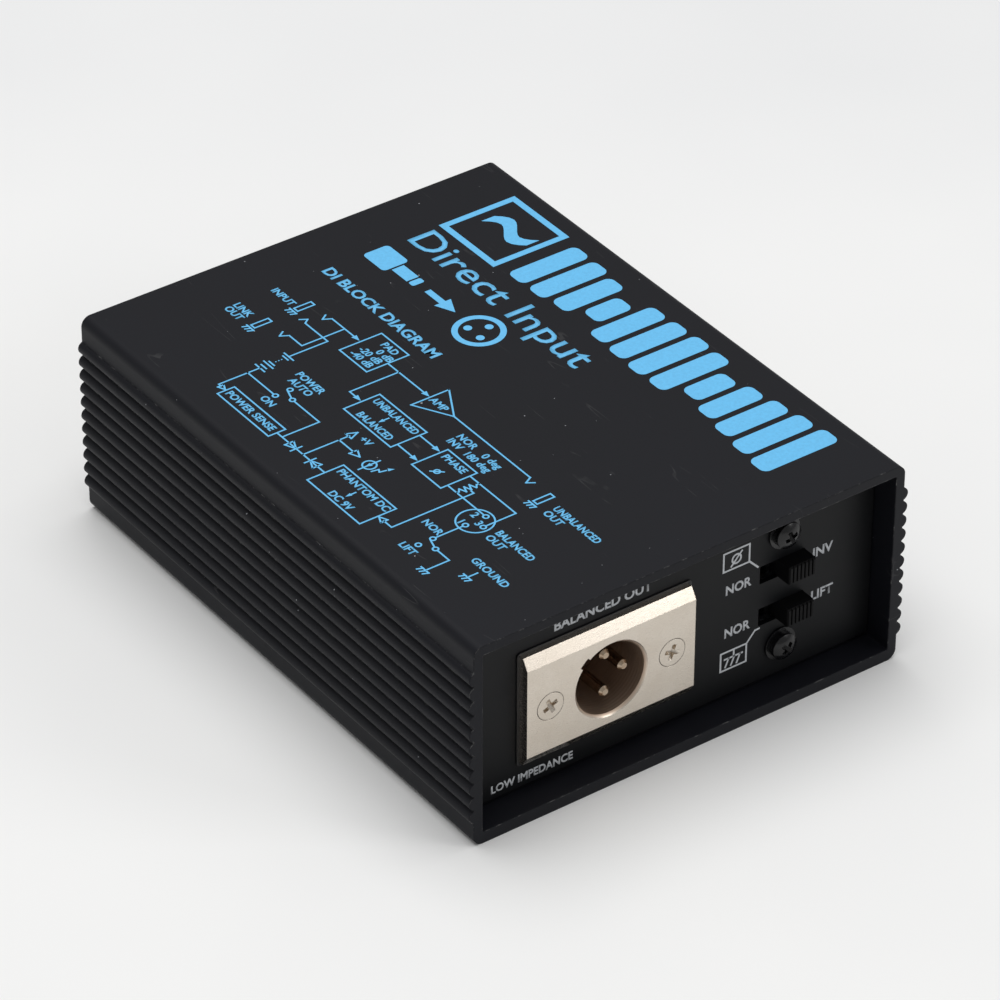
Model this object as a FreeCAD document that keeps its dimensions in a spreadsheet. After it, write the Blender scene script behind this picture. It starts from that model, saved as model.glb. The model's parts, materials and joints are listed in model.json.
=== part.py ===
import FreeCAD, Part
import Sketcher
import math
import os
import re

# Active direct injection box: a ribbed aluminium sleeve around a folded steel chassis that carries an
# XLR output, three phone jacks, four slide switches, a circuit board and a 9 V battery behind a hinged
# door in the underside. Millimetres. +X to the right when facing the output panel, which looks towards
# -Y, and +Z up. The origin is the middle of the sleeve's underside.

SIZES = [
    # sleeve
    ("body_width", 103.0, "sleeve across its flat bands"),
    ("body_depth", 136.0, "sleeve along the extrusion"),
    ("body_height", 47.0, "sleeve height"),
    ("corner_round", 2.2, "outer corner radius of the sleeve"),
    ("inner_round", 0.35, "inner corner radius of the sleeve"),
    ("side_wall", 2.1, "sleeve side wall under the ribs"),
    ("top_wall", 2.2, "sleeve top wall"),
    ("floor_wall", 2.7, "sleeve bottom wall"),
    ("rib_count", 11, "ribs on each side"),
    ("rib_pitch", 3.27, "rib spacing"),
    ("rib_height", 1.0, "how far a rib stands out"),
    ("rib_round", 1.5, "radius of a rib's crest"),
    # chassis
    ("panel_recess", 6.1, "panel face behind the end of the sleeve"),
    ("sheet", 1.2, "chassis sheet thickness"),
    ("bend_round", 1.2, "outer bend radius of the chassis"),
    ("slip", 0.4, "clearance of the chassis in the sleeve"),
    ("case_screw_x", 40.0, "case screws from the middle, across"),
    ("case_screw_y", 53.0, "case screws from the middle, along"),
    # fasteners
    ("thread", 1.5, "M3 screw radius"),
    ("hole_gap", 0.1, "radial clearance of a screw in its hole"),
    ("sunk_head", 3.1, "radius of a countersunk M3 head"),
    ("sunk_depth", 1.7, "depth of a countersunk M3 head"),
    ("pan_head", 2.9, "radius of a pan head"),
    ("pan_rise", 2.3, "height of a pan head"),
    ("pan_dome", 1.7, "radius of a pan head's dome, in head radii"),
    ("pan_recess", 1.95, "half the span of the cross in a pan head"),
    ("sunk_recess", 2.05, "half the span of the cross in a countersunk head"),
    ("recess_arm", 0.95, "width of a recess's arms"),
    ("recess_depth", 1.35, "depth of a cross recess"),
    ("washer_radius", 3.7, "radius of the plain washers"),
    ("washer_thick", 0.5, "thickness of the plain washers"),
    ("hex_nut", 3.1, "circumscribed radius of an M3 nut"),
    ("hex_thick", 2.2, "thickness of an M3 nut"),
    # XLR connector
    ("xlr_x", -16.6, "connector centre across"),
    ("xlr_z", 22.6, "connector centre above the underside"),
    ("flange_width", 40.0, "connector flange width"),
    ("flange_height", 25.5, "connector flange height"),
    ("flange_thick", 2.7, "connector flange thickness"),
    ("bevel_height", 2.4, "bevel of the flange's long edges, along the face"),
    ("bevel_depth", 1.5, "bevel of the flange's long edges, into the flange"),
    ("xlr_bore", 8.1, "socket radius"),
    ("xlr_lead_in", 0.6, "chamfer at the mouth of the socket"),
    ("xlr_barrel", 10.4, "outer radius of the barrel"),
    ("barrel_length", 15.4, "barrel behind the panel's face"),
    ("barrel_gap", 0.3, "clearance of the barrel in the panel"),
    ("key_radius", 9.4, "how far out the key groove reaches"),
    ("key_width", 2.4, "key groove width"),
    ("insert_thick", 4.6, "contact insert thickness"),
    ("fit", 0.05, "radial clearance of a snug fit"),
    ("pin_circle", 4.4, "contact pins from the connector's centre"),
    ("pin_radius", 1.18, "contact pin radius"),
    ("pin_sink", 2.0, "pin tips below the flange's face"),
    ("pin_tail", 3.5, "solder cups behind the insert"),
    ("cup_radius", 1.45, "solder cup radius"),
    ("xlr_screw_x", 14.5, "flange screws from the connector's centre"),
    # slide switches
    ("slot_length", 11.1, "two-position switch slot"),
    ("long_slot_length", 15.1, "three-position switch slot"),
    ("slot_height", 4.2, "switch slot height"),
    ("knob_length", 6.5, "knob along its travel"),
    ("knob_height", 4.05, "knob across its travel"),
    ("knob_rise", 3.8, "knob in front of the panel"),
    ("knob_gap", 0.15, "knob to the slot's end at the end of its travel"),
    ("grip_count", 6, "grip grooves in the knob"),
    ("grip_pitch", 0.94, "grip groove spacing"),
    ("grip_width", 0.36, "grip groove width"),
    ("grip_depth", 0.4, "grip groove depth"),
    ("can_margin", 1.7, "switch can past each end of the slot"),
    ("can_height", 7.0, "switch can height"),
    ("can_depth", 5.2, "switch can depth"),
    ("can_wall", 0.35, "switch can sheet"),
    ("shoulder", 0.8, "carriage past each end of the knob"),
    ("carriage_height", 5.4, "carriage height"),
    ("carriage_thick", 1.6, "carriage thickness"),
    ("wiper_thick", 0.6, "sliding contact thickness"),
    ("base_thick", 1.2, "switch base thickness"),
    ("tag_length", 3.4, "switch terminals behind the base"),
    ("tag_pitch", 3.4, "switch terminal spacing"),
    ("tag_width", 0.9, "switch terminal width"),
    ("tag_thick", 0.4, "switch terminal thickness"),
    ("tag_spread", 1.8, "switch terminals from the switch's middle line"),
    ("bracket_sheet", 1.0, "switch bracket sheet"),
    ("bracket_width", 21.0, "switch bracket width"),
    ("bracket_margin", 4.2, "bracket past its screws"),
    ("switch_x", 26.6, "output switches, slot centre across"),
    ("switch_z", 24.3, "middle of both switches above the underside"),
    ("switch_pitch", 10.2, "between the two switches"),
    ("bracket_screw_z", 13.45, "bracket screws from the middle of the switches"),
    ("rear_switch_x", -33.0, "input side switches, slot centre across"),
    # phone jacks and lamp
    ("jack_x", 12.0, "middle jack across"),
    ("jack_pitch", 22.0, "jack spacing"),
    ("jack_z", 20.4, "jacks above the underside"),
    ("jack_bore", 3.2, "jack bore radius"),
    ("bushing_radius", 4.6, "jack bushing radius"),
    ("bushing_rise", 4.4, "jack bushing in front of the panel"),
    ("collar_radius", 6.6, "bushing collar radius"),
    ("collar_thick", 2.0, "bushing collar thickness"),
    ("jack_hole_gap", 0.2, "clearance of the bushing in the panel"),
    ("jack_width", 15.0, "jack body width and height"),
    ("jack_length", 26.0, "jack body length"),
    ("jack_back", 2.0, "jack body end wall"),
    ("jack_nut", 6.6, "circumscribed radius of the jack nut"),
    ("jack_nut_thick", 2.0, "jack nut thickness"),
    ("spring_width", 3.0, "jack contact spring width"),
    ("spring_thick", 0.4, "jack contact spring thickness"),
    ("foot_half", 0.5, "half the width of a jack's solder foot"),
    ("lamp_x", 1.0, "lamp across"),
    ("lamp_z", 36.6, "lamp above the underside"),
    ("lamp_radius", 1.5, "lamp lens radius"),
    ("lamp_holder", 2.6, "lamp holder radius"),
    ("lamp_rise", 1.4, "lamp holder in front of the panel"),
    # circuit board
    ("board_width", 94.0, "board across"),
    ("board_front", 2.6, "board's edge nearest the battery box"),
    ("board_back", 49.0, "board's edge under the jacks"),
    ("board_thick", 1.6, "board thickness"),
    ("standoff", 5.0, "board above the chassis"),
    ("standoff_radius", 2.75, "standoff radius"),
    ("board_inset", 4.5, "board screws from the board's edges"),
    ("lead_radius", 0.45, "radius of the leads"),
    ("chip_length", 9.8, "eight-leg amplifier chip length"),
    ("chip_width", 6.4, "amplifier chip width"),
    ("chip_gap", 0.6, "amplifier chip above the board"),
    ("chip_thick", 3.4, "amplifier chip thickness"),
    ("leg_pitch", 2.54, "spacing of the chip's legs"),
    ("leg_spread", 3.7, "legs from the chip's middle"),
    ("leg_width", 0.5, "chip leg width"),
    ("electrolytic_radius", 2.5, "electrolytic capacitor radius"),
    ("electrolytic_height", 11.0, "electrolytic capacitor height"),
    ("film_length", 7.2, "film capacitor length"),
    ("film_width", 2.6, "film capacitor width"),
    ("film_height", 7.0, "film capacitor height"),
    ("resistor_radius", 1.15, "resistor radius"),
    ("resistor_length", 6.2, "resistor body length"),
    ("resistor_span", 10.0, "resistor over its wires"),
    ("resistor_wire", 0.3, "resistor wire radius"),
    ("resistor_level", 1.4, "resistor axis above the board"),
    ("transistor_radius", 2.3, "transistor radius"),
    ("transistor_height", 4.6, "transistor case height"),
    ("transistor_gap", 2.0, "transistor case above the board"),
    ("transistor_flat", 1.3, "flat of the transistor from its middle"),
    ("core_radius", 5.0, "converter coil core radius"),
    ("core_height", 9.0, "converter coil core height"),
    ("core_bore", 1.2, "hole in the core"),
    # battery, box and door
    ("cell_length", 46.4, "9 V block without its terminals"),
    ("cell_width", 26.5, "9 V block width"),
    ("cell_height", 17.5, "9 V block thickness"),
    ("cell_gap", 0.6, "clearance around the battery"),
    ("stud_rise", 2.1, "battery terminal height"),
    ("snap_thick", 3.6, "battery snap thickness"),
    ("snap_height", 12.8, "battery snap height"),
    ("snap_margin", 0.75, "battery snap in from the battery's sides"),
    ("stud_radius", 2.8, "battery terminal radius"),
    ("stud_pitch", 12.7, "between the battery terminals"),
    ("pad_width", 16.0, "foam pad width"),
    ("lead_room", 3.0, "room behind the snap for its leads"),
    ("pad_thick", 2.0, "foam pad thickness"),
    ("box_wall", 1.4, "battery box wall"),
    ("box_x", -46.0, "battery box's left side"),
    ("box_y", -29.9, "battery box's output side"),
    ("box_lip", 3.0, "battery box rim on the chassis"),
    ("box_gap", 0.2, "clearance of the battery box in its openings"),
    ("door_inset", 0.3, "door face above the sleeve's underside"),
    ("door_thick", 2.0, "door plate thickness"),
    ("door_gap", 0.35, "clearance around the door"),
    ("hinge_barrel", 1.6, "door hinge barrel radius"),
    ("hinge_pin", 0.9, "door hinge pin radius"),
    ("hinge_play", 0.05, "radial clearance of the hinge pins"),
    ("hinge_reach", 1.0, "hinge pins into the battery box walls"),
    ("latch_rise", 3.0, "door latch above the plate"),
    ("latch_width", 9.0, "door latch width"),
]
ALIASES = {alias for alias, value, note in SIZES}

doc = FreeCAD.newDocument("direct_box")
sheet = doc.addObject("Spreadsheet::Sheet", "Sizes")
nodes = []

X, Y, Z = FreeCAD.Vector(1, 0, 0), FreeCAD.Vector(0, 1, 0), FreeCAD.Vector(0, 0, 1)
TO_OUTPUT = FreeCAD.Rotation(X, 90)
TO_INPUT = FreeCAD.Rotation(Z, 180).multiply(FreeCAD.Rotation(X, 90))
UPWARD = FreeCAD.Rotation()
DOWNWARD = FreeCAD.Rotation(X, 180)
ALONG = {"x": FreeCAD.Rotation(Y, 90), "y": FreeCAD.Rotation(X, -90), "z": FreeCAD.Rotation()}


# --- the sheet and its formulas -------------------------------------------------------------------

def fill_sheet():
    for row, (alias, value, note) in enumerate(SIZES, 1):
        sheet.set(f"A{row}", note)
        sheet.set(f"B{row}", str(value))
        sheet.setAlias(f"B{row}", alias)
    doc.recompute()


def linked(formula):
    """A formula in the sheet's words, as the expression that reads the cells."""
    return re.sub(r"[a-z_]+", lambda word: f"Sizes.{word[0]}" if word[0] in ALIASES else word[0], formula)


def bind(thing, **formulas):
    for name, formula in formulas.items():
        thing.setExpression(name, linked(formula))


def move(thing, x="0", y="0", z="0"):
    for axis, formula in zip("xyz", (x, y, z)):
        thing.setExpression(f"Placement.Base.{axis}", linked(formula))


def place(thing, facing, x="0", y="0", z="0", turn=0):
    """Stand a piece that was built along +Z at a point, looking another way."""
    thing.Placement = FreeCAD.Placement(FreeCAD.Vector(), facing.multiply(FreeCAD.Rotation(Z, turn)))
    move(thing, x, y, z)
    return thing


def node(thing, label):
    """Name a finished sub-part."""
    thing.Label = label
    nodes.append(thing)
    return thing


# --- building blocks: each size and place is a formula ---------------------------------------------

def block(x, y, z):
    """A box between two formulas along each axis."""
    solid = doc.addObject("Part::Box", "block")
    bind(solid, Length=f"({x[1]}) - ({x[0]})", Width=f"({y[1]}) - ({y[0]})", Height=f"({z[1]}) - ({z[0]})")
    move(solid, x[0], y[0], z[0])
    return solid


def centred(length, width, z, x="0", y="0"):
    """A box centred on x and y."""
    return block((f"{x} - ({length}) / 2", f"{x} + ({length}) / 2"),
                 (f"{y} - ({width}) / 2", f"{y} + ({width}) / 2"), z)


def frustum(length, width, z, inset_x, inset_y, x="0", y="0"):
    """A centred block whose top is drawn in on each side."""
    solid = doc.addObject("Part::Wedge", "frustum")
    bind(solid, Xmin=f"-({length}) / 2", Xmax=f"({length}) / 2",
         Zmin=f"-({width}) / 2", Zmax=f"({width}) / 2",
         Ymin="0", Ymax=f"({z[1]}) - ({z[0]})",
         X2min=f"-({length}) / 2 + {inset_x}", X2max=f"({length}) / 2 - {inset_x}",
         Z2min=f"-({width}) / 2 + {inset_y}", Z2max=f"({width}) / 2 - {inset_y}")
    return place(solid, FreeCAD.Rotation(X, 90), x, y, z[0])


def rod(radius, span, x="0", y="0", z="0", along="z"):
    """A cylinder along an axis, between two formulas on it."""
    solid = doc.addObject("Part::Cylinder", "rod")
    bind(solid, Radius=radius, Height=f"({span[1]}) - ({span[0]})")
    solid.Placement.Rotation = ALONG[along]
    start = {"x": x, "y": y, "z": z}
    start[along] = f"{start[along]} + {span[0]}"
    move(solid, **start)
    return solid


def cone(low_radius, high_radius, span, x="0", y="0"):
    solid = doc.addObject("Part::Cone", "cone")
    bind(solid, Radius1=low_radius, Radius2=high_radius, Height=f"({span[1]}) - ({span[0]})")
    move(solid, x, y, span[0])
    return solid


def ball(radius, z):
    solid = doc.addObject("Part::Sphere", "ball")
    bind(solid, Radius=radius)
    move(solid, z=z)
    return solid


def prism(radius, span, x="0", y="0"):
    """A hexagonal prism."""
    solid = doc.addObject("Part::Prism", "prism")
    solid.Polygon = 6
    bind(solid, Circumradius=radius, Height=f"({span[1]}) - ({span[0]})")
    move(solid, x, y, span[0])
    return solid


def joined(kind, pieces):
    whole = doc.addObject(kind, "joined")
    setattr(whole, {"Part::Compound": "Links"}.get(kind, "Shapes"), pieces)
    return whole


def fused(*pieces):
    return joined("Part::MultiFuse", list(pieces))


def common(*pieces):
    return joined("Part::MultiCommon", list(pieces))


def group(pieces):
    """Separate solids that share a node."""
    return joined("Part::Compound", list(pieces))


def less(base, *tools):
    """A piece with others cut away from it."""
    rest = doc.addObject("Part::Cut", "rest")
    rest.Base = base
    rest.Tool = tools[0] if len(tools) == 1 else fused(*tools)
    return rest


def new_body(name):
    return doc.addObject("PartDesign::Body", name)


def new_sketch(body, role, offset="0"):
    """A sketch on one of the body's own origin planes, moved along that plane's normal."""
    sketch = body.newObject("Sketcher::SketchObject", "outline")
    plane = next(item for item in body.Origin.OriginFeatures if item.Role == role)
    sketch.AttachmentSupport = (plane, [""])
    sketch.MapMode = "FlatFace"
    sketch.setExpression("AttachmentOffset.Base.z", linked(offset))
    return sketch


def fix(sketch, kind, places, formula):
    """A constraint whose value is a formula."""
    index = sketch.addConstraint(Sketcher.Constraint(kind, *places, 1.0))
    sketch.setExpression(f"Constraints[{index}]", linked(formula))


def outline(sketch, corners):
    """A closed polygon; each corner is a pair of formulas."""
    count = len(corners)
    start = sketch.GeometryCount
    rough = [FreeCAD.Vector(20 * math.cos(2 * math.pi * i / count), 20 * math.sin(2 * math.pi * i / count), 0)
             for i in range(count)]
    for i in range(count):
        sketch.addGeometry(Part.LineSegment(rough[i], rough[(i + 1) % count]), False)
    for i in range(count):
        sketch.addConstraint(Sketcher.Constraint("Coincident", start + i, 2, start + (i + 1) % count, 1))
    for i, (across, up) in enumerate(corners):
        fix(sketch, "DistanceX", (-1, 1, start + i, 1), across)
        fix(sketch, "DistanceY", (-1, 1, start + i, 1), up)


def circle(sketch, radius, across, up):
    index = sketch.GeometryCount
    sketch.addGeometry(Part.Circle(FreeCAD.Vector(1, 1, 0), Z, 1.0), False)
    fix(sketch, "DistanceX", (-1, 1, index, 3), across)
    fix(sketch, "DistanceY", (-1, 1, index, 3), up)
    fix(sketch, "Radius", (index,), radius)


def rectangle(across, up):
    """The corners of a rectangle between two formulas each way."""
    return [(across[0], up[0]), (across[1], up[0]), (across[1], up[1]), (across[0], up[1])]


def feature(body, kind, sketch, length):
    """A Pad or Pocket of the sketch, bound to a length."""
    made = body.newObject(f"PartDesign::{kind}", kind.lower())
    made.Profile = sketch
    bind(made, Length=length)
    return made


def rounded(body, radius, chosen):
    """Round the edges of the body's last feature for which chosen(edge) holds."""
    doc.recompute()
    last = body.Tip
    names = [f"Edge{i}" for i, edge in enumerate(last.Shape.Edges, 1) if chosen(edge)]
    fillet = body.newObject("PartDesign::Fillet", "round")
    fillet.Base = (last, names)
    bind(fillet, Radius=radius)
    return fillet


def runs_along(axis):
    """A test for straight edges that run along one axis."""
    def chosen(edge):
        ends = [vertex.Point for vertex in edge.Vertexes]
        return len(ends) == 2 and abs(abs((ends[1] - ends[0]).normalize().dot(axis)) - 1) < 1e-6
    return chosen



# --- fasteners, built along +Z with the seat at z = 0 and the shank below ---------------------------

def cross_recess(radius, top):
    """The cross in a screw's head."""
    reach = (f"{top} - recess_depth", f"{top} + 0.5")
    arms = fused(centred(f"2 * {radius}", "recess_arm", reach), centred("recess_arm", f"2 * {radius}", reach))
    return common(arms, cone("recess_arm / 2 + 0.1", f"{radius} + 0.2", reach))


def pan_screw(shank):
    dome = ball("pan_head * pan_dome", "pan_rise - pan_head * pan_dome")
    head = common(rod("pan_head", ("0", "pan_rise")), dome)
    return less(fused(head, rod("thread", (f"-({shank})", "0.1"))), cross_recess("pan_recess", "pan_rise"))


def sunk_screw(shank):
    """A countersunk screw whose head is flush with z = 0."""
    head = cone("thread", "sunk_head", ("-sunk_depth", "0"))
    screw = fused(head, rod("thread", (f"-({shank})", "0.1 - sunk_depth")))
    return less(screw, cross_recess("sunk_recess", "0"))


def sunk_hole(depth):
    """What a countersunk screw needs cut away."""
    return fused(cone("thread + hole_gap", "sunk_head + hole_gap", ("-sunk_depth", "0")),
                 rod("thread + hole_gap", (f"-({depth})", "0.1 - sunk_depth")),
                 rod("sunk_head + hole_gap", ("0", "1")))


def hex_nut():
    return less(prism("hex_nut", ("0", "hex_thick")), rod("thread + hole_gap", ("-1", "hex_thick + 1")))


# --- places shared by several pieces ----------------------------------------------------------------

PANEL = "(body_depth / 2 - panel_recess)"
CASE_SCREWS = [(f"{i} * case_screw_x", f"{j} * case_screw_y") for i in (-1, 1) for j in (-1, 1)]
BOARD_TOP = "(floor_wall + sheet + standoff + board_thick)"
BOARD_SCREWS = [(f"{i} * (board_width / 2 - board_inset)", y)
                for i in (-1, 1) for y in ("board_front + board_inset", "board_back - board_inset")]
CAVITY_LENGTH = "(2 * cell_gap + cell_length + stud_rise + snap_thick + lead_room)"
CAVITY_WIDTH = "(cell_width + 2 * cell_gap)"
BOX_ACROSS = ("box_x", f"box_x + {CAVITY_LENGTH} + 2 * box_wall")
BOX_ALONG = ("box_y", f"box_y + {CAVITY_WIDTH} + 2 * box_wall")
CAVITY_ACROSS = ("(box_x + box_wall)", f"(box_x + box_wall + {CAVITY_LENGTH})")
CAVITY_ALONG = ("(box_y + box_wall)", f"(box_y + box_wall + {CAVITY_WIDTH})")
CELL_BOTTOM = "(door_inset + 2 * hinge_barrel + door_gap)"
CELL_TOP = f"({CELL_BOTTOM} + cell_height)"
BOX_CEILING = f"({CELL_TOP} + pad_thick + cell_gap)"
CELL_MIDDLE_Y = f"(box_y + box_wall + {CAVITY_WIDTH} / 2)"
HINGE_X = f"({CAVITY_ACROSS[0]} + hinge_barrel + door_gap)"
HINGE_Z = "(door_inset + hinge_barrel)"
JACKS = {
    "input_jack": "jack_x + jack_pitch",
    "parallel_jack": "jack_x",
    "unbalanced_jack": "jack_x - jack_pitch",
}

# name: (faces, slot centre across, level from the middle of the pair, slot length)
SWITCHES = {
    "phase_switch": (TO_OUTPUT, "switch_x", 1, "slot_length"),
    "ground_switch": (TO_OUTPUT, "switch_x", -1, "slot_length"),
    "attenuator_switch": (TO_INPUT, "rear_switch_x", 1, "long_slot_length"),
    "power_switch": (TO_INPUT, "rear_switch_x", -1, "slot_length"),
}


def on_panel(thing, facing, x, z):
    """Put a piece built along +Z on the outer face of the panel that it looks out of."""
    side = "-" if facing is TO_OUTPUT else ""
    return place(group([thing]), facing, x, f"{side}{PANEL}", z)


def battery_clearance(top):
    """What the battery box needs cut away below a level."""
    return block((f"{BOX_ACROSS[0]} - box_gap", f"{BOX_ACROSS[1]} + box_gap"),
                 (f"{BOX_ALONG[0]} - box_gap", f"{BOX_ALONG[1]} + box_gap"), ("-1", top))


# --- enclosure ----------------------------------------------------------------------------------------

def make_sleeve():
    """Extruded aluminium sleeve with rounded ribs along both sides."""
    body = new_body("sleeve_extrusion")
    outer = new_sketch(body, "XZ_Plane", "-body_depth / 2")
    outline(outer, rectangle(("-body_width / 2", "body_width / 2"), ("0", "body_height")))
    feature(body, "Pad", outer, "body_depth")
    rounded(body, "corner_round", runs_along(Y))

    first_rib = "body_height / 2 - (rib_count - 1) / 2 * rib_pitch"
    ribs = []
    for side in (-1, 1):
        rib = new_sketch(body, "XZ_Plane", "-body_depth / 2")
        circle(rib, "rib_round", f"{side} * (body_width / 2 + rib_height - rib_round)", first_rib)
        ribs.append(feature(body, "Pad", rib, "body_depth"))
    pattern = body.newObject("PartDesign::LinearPattern", "ribs")
    pattern.Originals = ribs
    pattern.Direction = (next(item for item in body.Origin.OriginFeatures if item.Role == "Z_Axis"), [""])
    bind(pattern, Length="(rib_count - 1) * rib_pitch", Occurrences="rib_count")
    body.Tip = pattern

    inner = new_sketch(body, "XZ_Plane", "-body_depth / 2")
    outline(inner, rectangle(("side_wall - body_width / 2", "body_width / 2 - side_wall"),
                             ("floor_wall", "body_height - top_wall")))
    hollow = feature(body, "Pocket", inner, "body_depth")
    hollow.Reversed = True
    half_inside = sheet.get("body_width") / 2 - sheet.get("side_wall")
    along = runs_along(Y)
    rounded(body, "inner_round",
            lambda edge: along(edge) and abs(abs(edge.Vertexes[0].X) - half_inside) < 1e-6)

    battery_opening = battery_clearance("floor_wall + 1")
    screw_holes = [place(sunk_hole("floor_wall + 1"), DOWNWARD, x, y) for x, y in CASE_SCREWS]
    node(less(body, battery_opening, *screw_holes), "sleeve")


def make_chassis():
    """One folded steel sheet: output panel, base and input panel."""
    body = new_body("folded_sheet")
    low, high = "floor_wall", "(body_height - top_wall - slip)"
    side = new_sketch(body, "YZ_Plane", "side_wall + slip - body_width / 2")
    outline(side, [(f"-{PANEL}", low), (PANEL, low), (PANEL, high), (f"{PANEL} - sheet", high),
                   (f"{PANEL} - sheet", f"{low} + sheet"), (f"sheet - {PANEL}", f"{low} + sheet"),
                   (f"sheet - {PANEL}", high), (f"-{PANEL}", high)])
    feature(body, "Pad", side, "body_width - 2 * side_wall - 2 * slip")
    floor = sheet.get("floor_wall")
    across = runs_along(X)
    rounded(body, "bend_round", lambda edge: across(edge) and abs(edge.Vertexes[0].Z - floor) < 1e-6)

    above_base = "floor_wall + sheet + 1"
    cuts = [battery_clearance(above_base)]
    cuts += [rod("thread + hole_gap", ("0", above_base), x, y) for x, y in CASE_SCREWS + BOARD_SCREWS]
    through = ("-sheet - 1", "1")
    cuts.append(on_panel(rod("xlr_barrel + barrel_gap", through), TO_OUTPUT, "xlr_x", "xlr_z"))
    for hand in (-1, 1):
        hole = rod("thread + hole_gap", through, f"{hand} * xlr_screw_x")
        cuts.append(on_panel(hole, TO_OUTPUT, "xlr_x", "xlr_z"))
    for facing, x, level, slot in SWITCHES.values():
        hole = centred(slot, "slot_height", through, y=f"{level} * switch_pitch / 2")
        cuts.append(on_panel(hole, facing, x, "switch_z"))
    for facing, x in ((TO_OUTPUT, "switch_x"), (TO_INPUT, "rear_switch_x")):
        holes = [rod("thread + hole_gap", through, y=f"{hand} * bracket_screw_z") for hand in (-1, 1)]
        cuts.append(on_panel(group(holes), facing, x, "switch_z"))
    for x in JACKS.values():
        cuts.append(on_panel(rod("bushing_radius + jack_hole_gap", through), TO_INPUT, x, "jack_z"))
    cuts.append(on_panel(rod("lamp_holder", through), TO_INPUT, "lamp_x", "lamp_z"))
    node(less(body, *cuts), "chassis")


def make_case_screws():
    """Four countersunk screws up through the sleeve into threaded inserts on the chassis."""
    screws = [place(sunk_screw("floor_wall + sheet + 3"), DOWNWARD, x, y) for x, y in CASE_SCREWS]
    node(group(screws), "case_screws")
    inserts = []
    for x, y in CASE_SCREWS:
        top = "floor_wall + sheet + 2.6"
        tube = rod("thread * 1.9", ("floor_wall + sheet", top), x, y)
        inserts.append(less(tube, rod("thread + fit", ("0", "floor_wall + sheet + 5"), x, y)))
    node(group(inserts), "case_inserts")


# --- XLR output ---------------------------------------------------------------------------------------

def make_xlr():
    """Three-pin male connector: flanged shell, contact insert, pins, screws and nuts."""
    foot = centred("flange_width", "flange_height", ("0", "flange_thick - bevel_depth"))
    face = frustum("flange_width", "flange_height", ("flange_thick - bevel_depth", "flange_thick"),
                   "0", "bevel_height")
    barrel = rod("xlr_barrel", ("-barrel_length", "0"))
    through = ("-barrel_length - 1", "flange_thick + 1")
    mouth = cone("xlr_bore", "xlr_bore + xlr_lead_in + 0.2",
                 ("flange_thick - xlr_lead_in", "flange_thick + 0.2"))
    insert_front = "(insert_thick - barrel_length)"
    key = centred("key_radius", "key_width", (insert_front, "flange_thick + 1"), x="key_radius / 2")
    groove = common(key, rod("key_radius", through))
    groove.Placement.Rotation = FreeCAD.Rotation(Z, 135)
    cuts = [rod("xlr_bore", through), mouth, groove]
    for hand in (-1, 1):
        cuts.append(place(sunk_hole("flange_thick + 1"), UPWARD, f"{hand} * xlr_screw_x", z="flange_thick"))
    node(on_panel(less(fused(foot, face, barrel), *cuts), TO_OUTPUT, "xlr_x", "xlr_z"), "xlr_shell")

    seats = []
    for number, angle in ((1, 90), (2, 0), (3, -90)):
        x = f"pin_circle * cos({angle} deg)"
        y = f"pin_circle * sin({angle} deg)"
        tip = "flange_thick - pin_sink"
        stem = rod("pin_radius", (insert_front, f"{tip} - 0.6"), x, y)
        nose = cone("pin_radius", "pin_radius - 0.5", (f"{tip} - 0.6", tip), x, y)
        shank = rod("pin_radius", ("-barrel_length - pin_tail", insert_front), x, y)
        cup = rod("cup_radius", ("-barrel_length - pin_tail", "-barrel_length"), x, y)
        well = rod("pin_radius - 0.3", ("-barrel_length - pin_tail - 1", "1.5 - barrel_length - pin_tail"),
                   x, y)
        pin = less(fused(stem, nose, shank, cup), well)
        node(on_panel(pin, TO_OUTPUT, "xlr_x", "xlr_z"), f"xlr_pin_{number}")
        seats.append(rod("pin_radius + fit", ("-barrel_length - 1", "0"), x, y))
    disc = rod("xlr_bore - fit", ("-barrel_length", insert_front))
    node(on_panel(less(disc, *seats), TO_OUTPUT, "xlr_x", "xlr_z"), "xlr_insert")

    screws, nuts = [], []
    for hand, turn in ((-1, 25), (1, -18)):
        x = f"xlr_x + {hand} * xlr_screw_x"
        screw = sunk_screw("flange_thick + sheet + hex_thick + 1.5")
        place(screw, TO_OUTPUT, x, f"-{PANEL} - flange_thick", "xlr_z", turn)
        screws.append(screw)
        nuts.append(place(hex_nut(), TO_OUTPUT, x, f"sheet + hex_thick - {PANEL}", "xlr_z"))
    node(group(screws), "xlr_screws")
    node(group(nuts), "xlr_nuts")


# --- slide switches -----------------------------------------------------------------------------------

CAN_FRONT = "(-sheet - bracket_sheet)"
CAN_BACK = f"({CAN_FRONT} - can_depth)"
CARRIAGE_TOP = f"({CAN_FRONT} - can_wall - fit)"


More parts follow.
